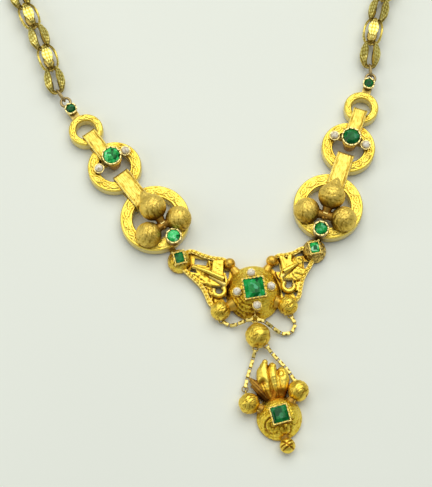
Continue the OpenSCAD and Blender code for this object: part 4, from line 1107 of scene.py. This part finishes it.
# Creases and folds of the same leaves: start, end, half width, depth, shade (painted shade in the creases,
# painted highlight on the two raised folds)
CREASES = [
    [((-11.9, 4.6), (-7.0, 1.9), 0.42, 0.45, -0.55), ((-14.9, 7.4), (-11.6, 5.6), 0.3, 0.1, -0.25),
     ((-14.6, 4.6), (-12.4, 3.0), 0.22, 0.2, -0.30), ((-13.0, 4.9), (-10.9, 2.9), 0.2, 0.15, -0.2),
     ((-10.6, 8.3), (-10.9, 5.3), 0.2, 0.2, -0.30), ((-12.3, 1.6), (-10.4, 0.4), 0.25, 0.2, -0.3),
     ((-11.4, -0.2), (-9.8, -1.8), 0.25, 0.2, -0.25), ((-12.6, 2.45), (-11.5, 2.65), 0.25, -0.15, 0.3)],
    [((7.1, 9.7), (8.15, 6.3), 0.16, -0.1, 0.18), ((8.0, 10.2), (8.3, 8.7), 0.25, 0.2, -0.32),
     ((9.9, 9.9), (9.7, 8.3), 0.22, 0.2, -0.28), ((8.2, 4.7), (11.0, 7.1), 0.25, 0.2, -0.25),
     ((12.4, 7.9), (11.2, 7.3), 0.25, 0.2, -0.25), ((12.2, 4.4), (10.6, 4.9), 0.2, 0.2, -0.25),
     ((10.9, 3.2), (9.6, 4.5), 0.2, 0.15, -0.2), ((11.3, 8.6), (11.6, 8.2), 0.3, 0.2, -0.3),
     ((10.2, 3.0), (9.7, 1.6), 0.22, 0.2, -0.35)]]


def inside(x, y, corners):
    odd = False
    for (ax, ay), (bx, by) in zip(corners, corners[1:] + corners[:1]):
        if (ay > y) != (by > y) and x < ax + (y - ay) / (by - ay) * (bx - ax):
            odd = not odd
    return odd


def beside_line(x, y, a, b):
    """Share of the way from a to b nearest a place, how far left of the line it is, and its distance."""
    dx, dy = b[0] - a[0], b[1] - a[1]
    length = math.hypot(dx, dy)
    t = ((x - a[0]) * dx + (y - a[1]) * dy) / length ** 2
    off = ((y - a[1]) * dx - (x - a[0]) * dy) / length
    return t, off, math.hypot(x - a[0] - held(t) * dx, y - a[1] - held(t) * dy)


def line_distance(x, y, a, b):
    return beside_line(x, y, a, b)[2]


def edge_distance(x, y, corners):
    return min(line_distance(x, y, a, b) for a, b in zip(corners, corners[1:] + corners[:1]))


def relief(low, high, step, height):
    """Cast relief over a rectangle. height(x, y) is its top and shade, or None where there is none."""
    nx, ny = round((high[0] - low[0]) / step), round((high[1] - low[1]) / step)
    cast = added(bpy.ops.mesh.primitive_grid_add, x_subdivisions=nx, y_subdivisions=ny, size=2)
    empty = set()
    tones = []
    for vertex in cast.data.vertices:
        x = low[0] + (vertex.co.x + 1) / 2 * (high[0] - low[0])
        y = low[1] + (vertex.co.y + 1) / 2 * (high[1] - low[1])
        top = height(x, y)
        if top is None:
            empty.add(vertex.index)
            top = (0.0, 0.0)
        vertex.co = (x, y, top[0])
        tones.append(top[1])
    shaded(cast, tones)
    bpy.ops.object.mode_set(mode="EDIT")
    bpy.ops.mesh.select_mode(type="VERT")
    bpy.ops.mesh.select_all(action="DESELECT")
    close_mesh()
    for vertex in cast.data.vertices:
        vertex.select = vertex.index in empty
    bpy.ops.object.mode_set(mode="EDIT")
    bpy.ops.mesh.delete(type="VERT")
    close_mesh()
    return cast


def panel_top(x, y, panel, seed):
    """Height and shade of one hammered panel at a place, or None beside it."""
    corners, middle, slope, hammer, shade = panel
    if not inside(x, y, corners):
        return None
    cx = sum(c[0] for c in corners) / len(corners)
    cy = sum(c[1] for c in corners) / len(corners)
    rounded = 1 - smoothstep(edge_distance(x, y, corners) / 0.4)
    dent = rough_at(x * 1.5, y * 1.5, seed) + 0.6 * rough_at(x * 3.4, y * 3.4, seed)
    z = middle + slope[0] * (x - cx) + slope[1] * (y - cy) + hammer * dent - 0.3 * rounded
    # Painted light and shade: lighter on the raised parts of its hammering, darker where its edge rounds down
    return z, shade + 1.3 * hammer * dent - 0.12 * rounded


def wing_relief(side):
    hand = (-1, 1)[side]
    upper, lower = curve_through(UPPER_STRAND[side], 4), curve_through(LOWER_STRAND[side], 4)
    plate = [*upper, (hand * 3, 5), (hand * 4, -3), *reversed(lower)]
    base, tip = LEAF_BASE[side], LEAF_TIP[side]
    half = (2.5, 2.9)[side]
    low = [min(p[k] for p in plate) for k in (0, 1)]
    high = [max(p[k] for p in plate) for k in (0, 1)]

    def ground_at(x, y):
        """Top of the solid: the leaf, or the plate beside it."""
        t, off, _ = beside_line(x, y, base, tip)
        share = held(t)
        edge = (half * math.sin(math.pi * share ** 0.75) * (1 - 0.35 * share)
                + 0.35 * abs(math.sin(3 * math.pi * share)) + 0.25)
        if 0 < t < 1 and abs(off) < edge + 0.1:
            return 2.4 - 1.1 * abs(off) / (1.6 * half)
        return PLATE_TOP

    def height(x, y):
        if not inside(x, y, plate) or math.hypot(x, y) < CLEAR_OF_DOME:
            return None
        rim = edge_distance(x, y, plate)
        for window in WINDOWS[side]:
            if inside(x, y, window):
                return None
            rim = min(rim, edge_distance(x, y, window))
        ground = ground_at(x, y)
        z = ground + 0.05 + 0.05 * rough_at(x * 2, y * 2, side)
        tone = -0.15 + 0.3 * rough_at(x * 2.6, y * 2.6, 7.0)
        for number, panel in enumerate(PANELS[side]):
            top = panel_top(x, y, panel, number + 10 * side)
            if top and top[0] > z:
                z, tone = top
        for a, b, width, depth, shade in CREASES[side]:
            line = ridge(line_distance(x, y, a, b), width)
            z = max(ground + 0.04, z - depth * line)
            tone += shade * line
        return z - (1 - smoothstep(rim / 0.2)) * (z - ground + 0.12), tone

    cast = relief(low, high, 0.13, height)
    return mount(put(cast, seat()), f"wing_relief_{SIDES[side]}", RELIEF, smooth=60)


def scroll_wire(side):
    """Scroll under the leaf, thickest in its middle."""
    cx, cy = SCROLL[side]
    hand, steps = (-1, 1)[side], 18
    bowl, taper = [], []
    for k in range(steps + 1):
        a = math.radians(165 + 230 * k / steps)
        bowl.append((cx - hand * 1.35 * math.cos(a), cy + 1.35 * math.sin(a), CORD_Z + 0.35 * k / steps))
        taper.append(0.75 + 0.25 * math.sin(math.pi * k / steps))
    return wire(bowl, 0.6, taper, round_steps=3)


def make_wings():
    for side in (LEFT, RIGHT):
        wing_relief(side)
        cord = joined([corded(UPPER_STRAND[side], CORD_Z, CORD_RADIUS, 2.2),
                       corded(LOWER_STRAND[side], CORD_Z, CORD_RADIUS, 2.0)])
        mount(put(cord, seat()), f"wing_cords_{SIDES[side]}", RELIEF, smooth=60)
        rib = curve_through(MIDRIB[side], 3)
        last = len(rib) - 1
        rods = [wire(rib, 0.72, [1.0 - 0.55 * k / last for k in range(last + 1)], round_steps=4),
                scroll_wire(side),
                wire(THIN_STEM[side], 0.36, round_steps=3)]
        mount(put(joined(rods), seat()), f"wing_midrib_{SIDES[side]}", BRIGHT, smooth=60)


# Drop's palmette: fleshy petals, cast in relief. Rows of x, y, half width and height along each petal

LEFT_LEAF = [(-1.6, 5.4, 1.3, 2.6), (-2.3, 7.0, 1.6, 2.9), (-3.25, 9.0, 1.3, 3.0), (-4.3, 10.9, 0.35, 2.8)]
MIDDLE_PETALS = [
    [(-0.9, 5.3, 1.0, 2.9), (-1.2, 7.4, 1.55, 3.4), (-1.15, 9.6, 1.8, 3.9), (-0.75, 11.6, 1.6, 3.9),
     (-0.2, 13.0, 1.0, 3.6)],
    [(0.9, 5.3, 0.8, 2.8), (1.1, 7.9, 1.0, 3.5), (1.15, 9.8, 1.15, 3.95), (1.4, 11.6, 1.15, 3.8),
     (1.65, 12.6, 0.8, 3.4)]]
RIGHT_PETAL = [(2.0, 5.2, 1.1, 2.8), (2.6, 6.9, 1.65, 3.5), (3.05, 8.8, 1.85, 3.8), (3.4, 10.2, 1.45, 3.6),
               (3.55, 10.9, 0.9, 3.2)]
PETAL_FOOT = 0.95
PETAL_CROWN = 1.35   # how far a petal rises from its edge to its spine
# Stalks under the petals: angle, length, radius at the foot and at the tip, as they are in the drop
STALKS = [(28, 7.6, 0.8, 0.35), (1, 9.3, 0.9, 0.95), (-14, 8.6, 0.7, 0.65), (-36, 8.2, 0.9, 1.15)]


def petal(x, y, rows):
    """Height of a rounded petal at a place, and how far from its spine that is as a share.
    Beside the petal they are 0 and 1."""
    best = (0.0, 1.0)
    for (ax, ay, aw, az), (bx, by, bw, bz) in zip(rows, rows[1:]):
        t, _, far = beside_line(x, y, (ax, ay), (bx, by))
        w = aw + (bw - aw) * held(t)
        if far < w:
            z = az + (bz - az) * held(t) - PETAL_CROWN * (1 - math.sqrt(1 - (far / w) ** 2))
        elif far < w + 0.14:
            z = PETAL_FOOT + 0.05
        else:
            continue
        best = max(best, (z, far / w))
    return best


def stalk_top(x, y, stalk):
    """Height of a stalk at a place, or 0 beside it."""
    angle, length, foot, tip = stalk
    v, u = turned((x + 0.6, y - 4.2), -angle)
    neck = length - tip - 0.3
    best = 0.0
    if -0.6 < u < neck:
        r = foot + (tip - foot) * (u + 0.6) / (neck + 0.6)
        if abs(v) < r:
            best = 1.7 + 0.07 * (u + 0.6) + math.sqrt(r * r - v * v)
    far = math.hypot(u - neck, v)
    if far < tip + 0.15:
        best = max(best, 1.9 + math.sqrt((tip + 0.15) ** 2 - far * far))
    return best


def oval(x, y, cx, cy, across, along):
    """1 in the middle of an oval, falling softly to 0 outside it."""
    return math.exp(-((x - cx) / across) ** 2 - ((y - cy) / along) ** 2)


def settled(z, x, y, tone, stalks):
    """Height and shade of a petal on the drop's solid: never in a stalk, and none below the petals' foot."""
    rough = rough_at(x * 2.3, y * 2.3, 5.0)
    z += 0.04 * rough
    under = max(stalk_top(x, y, STALKS[k]) for k in stalks)
    # Painted shade: a stalk that shows between the petals is dark
    if under and under + 0.06 > z:
        z, tone = under + 0.06, -0.25
    if z < PETAL_FOOT:
        return None
    # Painted shade towards the petals' foot at the dome, and lighter on the raised bumps
    return z, tone + 0.10 * rough - 0.07 - 0.5 * smoothstep((7.9 - y) / 2.2)


def petal_edge(side):
    """How near a place is to the edge of its petal, 0 to 1."""
    return smoothstep((side - 0.65) / 0.35)


def left_leaf(x, y):
    groove = 0.5 + 0.5 * math.cos((x + 0.55 * y) * 2 * math.pi / 0.7)
    # Painted shade in its grooves
    return settled(petal(x, y, LEFT_LEAF)[0] - 0.1 * groove, x, y, 0.1 - 0.25 * groove, [0])


def middle_petals(x, y):
    z, side = petal(x, y, MIDDLE_PETALS[0])
    # Painted highlight on the big petal's middle, painted shade towards its edges
    tone = 0.16 * oval(x, y, -0.5, 9.6, 0.5, 2.0) - 0.14 * petal_edge(side)
    # Flutes and a hollow on the outer side of the big petal, with painted shade in them
    fluted = smoothstep((-0.9 - x) / 0.5) * smoothstep((9.4 - y) / 1.2)
    flute = fluted * (0.5 + 0.5 * math.cos((x + 0.14 * y) * 2 * math.pi / 0.6))
    hollow = oval(x, y, -1.8, 9.0, 0.75, 0.6)
    z -= 0.16 * flute + 0.6 * hollow
    tone -= 0.3 * flute + 0.55 * hollow
    second, side = petal(x, y, MIDDLE_PETALS[1])
    if second > z:
        z = second
        # Painted highlight on the second petal's middle, painted shade near its top and towards its edges
        tone = (0.32 * oval(x, y, 0.75, 9.3, 0.5, 1.6) - 0.22 * oval(x, y, 1.0, 11.6, 0.6, 0.8)
                - 0.15 * petal_edge(side))
    # Round tips, with painted shade towards their rims
    for bx, by, r, top in ((0.2, 13.75, 0.72, 3.5), (2.0, 12.3, 0.6, 3.6)):
        far = math.hypot(x - bx, y - by)
        if far < r and top - r + math.sqrt(r * r - far * far) > z:
            z = top - r + math.sqrt(r * r - far * far)
            tone = -0.05 - 0.2 * smoothstep((far / r - 0.5) / 0.4)
    crease = ridge(line_distance(x, y, (0.45, 12.6), (-0.35, 6.4)), 0.22)
    # Painted shade in the crease between the petals
    return settled(z - 0.2 * crease, x, y, tone - 0.4 * crease, [1, 2])


def right_petal(x, y):
    z, side = petal(x, y, RIGHT_PETAL)
    # Painted highlights on the petal's face, painted shade towards its edges, in its curl and in its split
    tone = (0.2 * oval(x, y, 2.6, 9.6, 0.8, 0.5) + 0.1 * oval(x, y, 3.6, 8.6, 0.7, 1.8)
            - 0.15 * petal_edge(side))
    curl = ridge(math.hypot(x - 3.1, y - 9.9) - 0.75, 0.2)
    split = ridge(x - 1.95 - 0.12 * (y - 5), 0.2) * smoothstep((y - 5.8) / 1.2)
    return settled(z - 0.2 * curl - 0.2 * split, x, y, tone - 0.22 * curl - 0.3 * split, [3])


def make_palmette():
    leaves = [("palmette_leaf_left", (-5.0, 3.6), (0.4, 11.4), left_leaf, BROWN),
              ("palmette_middle", (-3.2, 3.6), (3.0, 14.7), middle_petals, LEAF),
              ("palmette_leaf_right", (-1.4, 3.6), (5.4, 12.2), right_petal, LEAF)]
    for name, low, high, height, finish in leaves:
        cast = put(relief(low, high, 0.12, height), seat(DROP, 0, DROP_TURN))
        mount(cast, name, finish, smooth=70)


# Chains

NECK_ROUTE = [
    (-50.9, 57.3), (-53, 64), (-56.2, 71.5), (-60, 79.5), (-64.5, 90), (-68.5, 102), (-70.5, 115),
    (-69.5, 129), (-64, 142), (-54, 152), (-41, 158.5), (-26, 161.5), (-11, 161.5), (4, 158.5),
    (18, 152), (29, 142.5), (37, 130.5), (40.9, 117), (40.6, 103), (37.8, 90.5), (34.4, 80.5),
    (31.9, 72.5), (30.7, 64.6)]
CAGE_PLACES = 43
CAGE_L, CAGE_W, CAGE_ARM, CAGE_ARM_T = 7.7, 4.8, 2.2, 0.34


def cage_arm():
    """Granulated outer face of one arm of a link: rows of small raised grains between sunk edges."""
    rows, across = 20, 6
    arm = added(bpy.ops.mesh.primitive_grid_add, x_subdivisions=rows, y_subdivisions=across + 2, size=2)

    def counted(x, y):
        """Row and column of a point, and whether a grain stands on it."""
        row, column = round((x + 1) / 2 * rows), round((y + 1) / 2 * (across + 2)) - 1
        return row, column, row % 2 == 1 and column % 2 == 1

    def formed(x, y, z):
        row, column, grain = counted(x, y)
        t = 0.055 + 0.89 * row / rows
        bulge = abs(math.sin(math.pi * t))
        w = CAGE_ARM_T + (CAGE_ARM + 0.3 - CAGE_ARM_T) * bulge ** 4 + 0.08
        top = CAGE_W / 2 * bulge ** 0.65 + 0.02
        v = max(0, min(across, column)) / across * 2 - 1
        if column < 0 or column > across:
            top -= 0.3
        else:
            top += (0.2 if grain else 0.02) * smoothstep((bulge - 0.3) / 0.3)
        return (-CAGE_L / 2 * math.cos(math.pi * t), v * w / 2, top)

    def shade(x, y, z):
        # Painted light and shade: the grains lighter; the gaps between them, the sunk edges and the arm's
        # ends, where the arms meet, darker
        _, column, grain = counted(x, y)
        if column < 0 or column > across:
            return -0.5
        return (0.3 if grain else -0.38) - 0.45 * smoothstep((abs(x) - 0.62) / 0.25)

    return sculpt(arm, formed, shade)


def cage_places():
    """Middles of the places of the cage links round the neck, and their turns."""
    line = curve_through(NECK_ROUTE, 12)
    runs = runs_of(line)
    pitch = runs[-1] / (CAGE_PLACES - 1)
    places = [point_at(line, runs, min(i * pitch, runs[-1] - 1e-6)) for i in range(CAGE_PLACES)]
    turns = [heading(a, b) for a, b in zip(places, places[2:])]
    first = 2 * heading(places[0], places[1]) - turns[0]
    last = 2 * heading(places[-2], places[-1]) - turns[-1]
    return places, [first, *turns, last]


def torus(radius, thick, around, across, stretch=1.0, width=1.0):
    ring = added(bpy.ops.mesh.primitive_torus_add, major_radius=radius, minor_radius=thick,
                 major_segments=around, minor_segments=across)
    return stretched(ring, stretch, width, 1.0)


def make_neck_chain():
    places, turns = cage_places()
    clasp = CAGE_PLACES // 2
    for side in (LEFT, RIGHT):
        end = (0, CAGE_PLACES - 1)[side]
        seats = []
        for i in (range(clasp), range(clasp + 1, CAGE_PLACES))[side]:
            for k in range(4):
                roll = math.radians((45 if i % 2 == 0 else 0) + 90 * k)
                seats.append(seat(places[i], CHAIN_Z, turns[i]) @ Matrix.Rotation(roll, 4, "X"))
        arms = copies(cage_arm(), seats)
        for vertex in arms.data.vertices:
            vertex.co.z = max(vertex.co.z, cad_low.z)
        mount(arms, f"neck_chain_grains_{SIDES[side]}", GRAINS, smooth=25)
        # Heavier dull rings over the jump ring and the wire loop that hold the chain
        way = turns[end] + (180 if side == LEFT else 0)
        pole = beside(places[end], (CAGE_L / 2 - CAGE_ARM_T - 0.35, 0), way)
        stone = beside(SMALL_RING[side], END_STONE, END_TURN[side])
        near = beside(stone, (0, WIRE_LOOP[side] + 0.7), END_TURN[side])
        ring = torus(0.95, 0.3, 32, 12, math.dist(pole, near) / 1.9)
        half_way = ((pole[0] + near[0]) / 2, (pole[1] + near[1]) / 2)
        put(ring, seat(half_way, CHAIN_Z, heading(near, pole)) @ Matrix.Rotation(math.pi / 2, 4, "X"))
        mount(ring, f"jump_ring_face_{SIDES[side]}", DULL, smooth=60)
        loop = put(torus(1.2, 0.36, 40, 12),
                   seat(beside(stone, (0, WIRE_LOOP[side]), END_TURN[side]), CHAIN_Z))
        mount(loop, f"end_loop_face_{SIDES[side]}", DULL, smooth=60)


def hooked(route, near, far):
    """The route with its ends moved from the middle of an eye to its wire."""
    def moved(a, b, reach):
        share = (reach - 0.02) / math.hypot(b[0] - a[0], b[1] - a[1])
        return (a[0] + (b[0] - a[0]) * share, a[1] + (b[1] - a[1]) * share, a[2])
    return [moved(route[0], route[1], near), *route[1:-1], moved(route[-1], route[-2], far)]


def chain_plate(length):
    """Folded plate of a long link, with its edges broken, and painted shade: a dark mark for a notch in one
    of its sides, with no notch cut, darker ends and a darker side.
    """
    plate = stretched(added(bpy.ops.mesh.primitive_cube_add, size=1), length, 0.84, 0.66)
    open_mesh()
    bpy.ops.mesh.bevel(offset=0.1, segments=2, affect="EDGES")
    bpy.ops.mesh.subdivide(number_cuts=5)
    close_mesh()
    tones = []
    for vertex in plate.data.vertices:
        x, y = abs(vertex.co.x), vertex.co.y
        # Painted shade: a dark notch mark with no notch cut, darker ends where the rings meet it, and a
        # darker -y side
        notch = smoothstep((0.34 - x) / 0.1) * smoothstep((y - 0.02) / 0.14)
        end = smoothstep((x - length / 2 + 0.25) / 0.1)
        tones.append(-0.75 * notch - 0.3 * end - 0.12 * smoothstep(-y / 0.2))
    return shaded(plate, tones)


def fine_chain(name, route, node):
    """Long plates and short rings by turns along a route, in place of a chain of the solids."""
    line = curve_through(route, 12)
    runs = runs_of(line)
    long_pitch, short_pitch, lap = 1.5, 0.95, 0.5
    pairs = round((runs[-1] - long_pitch) / (long_pitch + short_pitch))
    share = runs[-1] / (pairs * (long_pitch + short_pitch) + long_pitch)
    joints = []
    for i in range(2 * pairs + 2):
        run = share * (math.ceil(i / 2) * long_pitch + (i // 2) * short_pitch)
        joints.append(Vector(point_at(line, runs, min(run, runs[-1] - 1e-6))))
    plates, rings = [], []
    for i, (a, b) in enumerate(zip(joints, joints[1:])):
        run, middle = b - a, (a + b) / 2
        lean = Matrix.Rotation(-math.asin(run.z / run.length), 4, "Y")
        place = seat(middle.xy, middle.z, math.degrees(math.atan2(run.y, run.x))) @ lean
        (plates if i % 2 == 0 else rings).append(place)
    body = copies(chain_plate(long_pitch * share + lap), plates)
    small = copies(torus(0.36, 0.14, 16, 8, (short_pitch * share + lap) / 0.94, 0.8), rings)
    mount(small, name + "_rings", DULL, smooth=60)
    mount(body, name, LEMON, smooth=30)
    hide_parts(node)


# From the middle of an eye or a ring to its wire
SMALL_EYE, SWAG_RING_EYE, LEFT_EYE = 0.425, 0.67, 0.55


def make_fine_chains():
    fine_chain("swag_chain_plates_left", hooked(
        [(-7.9, -6.75, 0.9), (-6.5, -7.7, 0.8), (-5.0, -8.0, 1.2), (-3.2, -7.6, 2.2), (-1.5, -7.15, 3.2),
         SWAG_RING], SMALL_EYE, SWAG_RING_EYE), "swag_chain_left")
    fine_chain("swag_chain_plates_right", hooked(
        [(8.95, -5.4, 0.9), (9.9, -6.9, 0.85), (9.9, -8.7, 0.8), (8.6, -9.9, 0.8), (7.0, -10.0, 0.8),
         (5.4, -9.2, 1.2), (3.8, -8.2, 2.2), (2.2, -7.4, 3.1), SWAG_RING], SMALL_EYE, SWAG_RING_EYE),
        "swag_chain_right")
    left = (*beside(DROP, (-6.1, 8.92), DROP_TURN), 1.2)
    right = (*beside(DROP, (6.25, 7.45), DROP_TURN), 0.9)
    fine_chain("drop_chain_plates_left", hooked(
        [(0.3, -14.1, 1.7), (-0.3, -16.5, 1.3), (-1.6, -20.8, 1.2), left], SMALL_EYE, LEFT_EYE),
        "drop_chain_left")
    fine_chain("drop_chain_plates_right", hooked(
        [(2.95, -13.3, 1.7), (4.6, -15.4, 1.3), (7.9, -19.0, 1.0), right], SMALL_EYE, SMALL_EYE),
        "drop_chain_right")


# The table that it lies on

def lay_floor():
    floor = added(bpy.ops.mesh.primitive_plane_add, size=3.0, location=(0, 0, cad_low.z - 0.00002))
    floor.name = "floor"
    material, tree, shader, place = new_material("pale_board")
    mottle = add_node(tree, "ShaderNodeTexNoise", Scale=12.0, Detail=2.0)
    tree.links.new(place, mottle.inputs["Vector"])
    stops = [(0.2, (0.87, 0.905, 0.815)), (0.8, (0.895, 0.93, 0.84))]
    tree.links.new(ramp(tree, mottle.outputs["Fac"], stops), shader.inputs["Base Color"])
    shader.inputs["Roughness"].default_value = 0.9
    floor.data.materials.append(material)


set_camera()
set_light()
finish_nodes()
make_ring_faces()
make_strap_faces()
make_clusters()
make_domes()
make_cups()
make_claws()
make_wings()
make_palmette()
make_neck_chain()
make_fine_chains()
lay_floor()
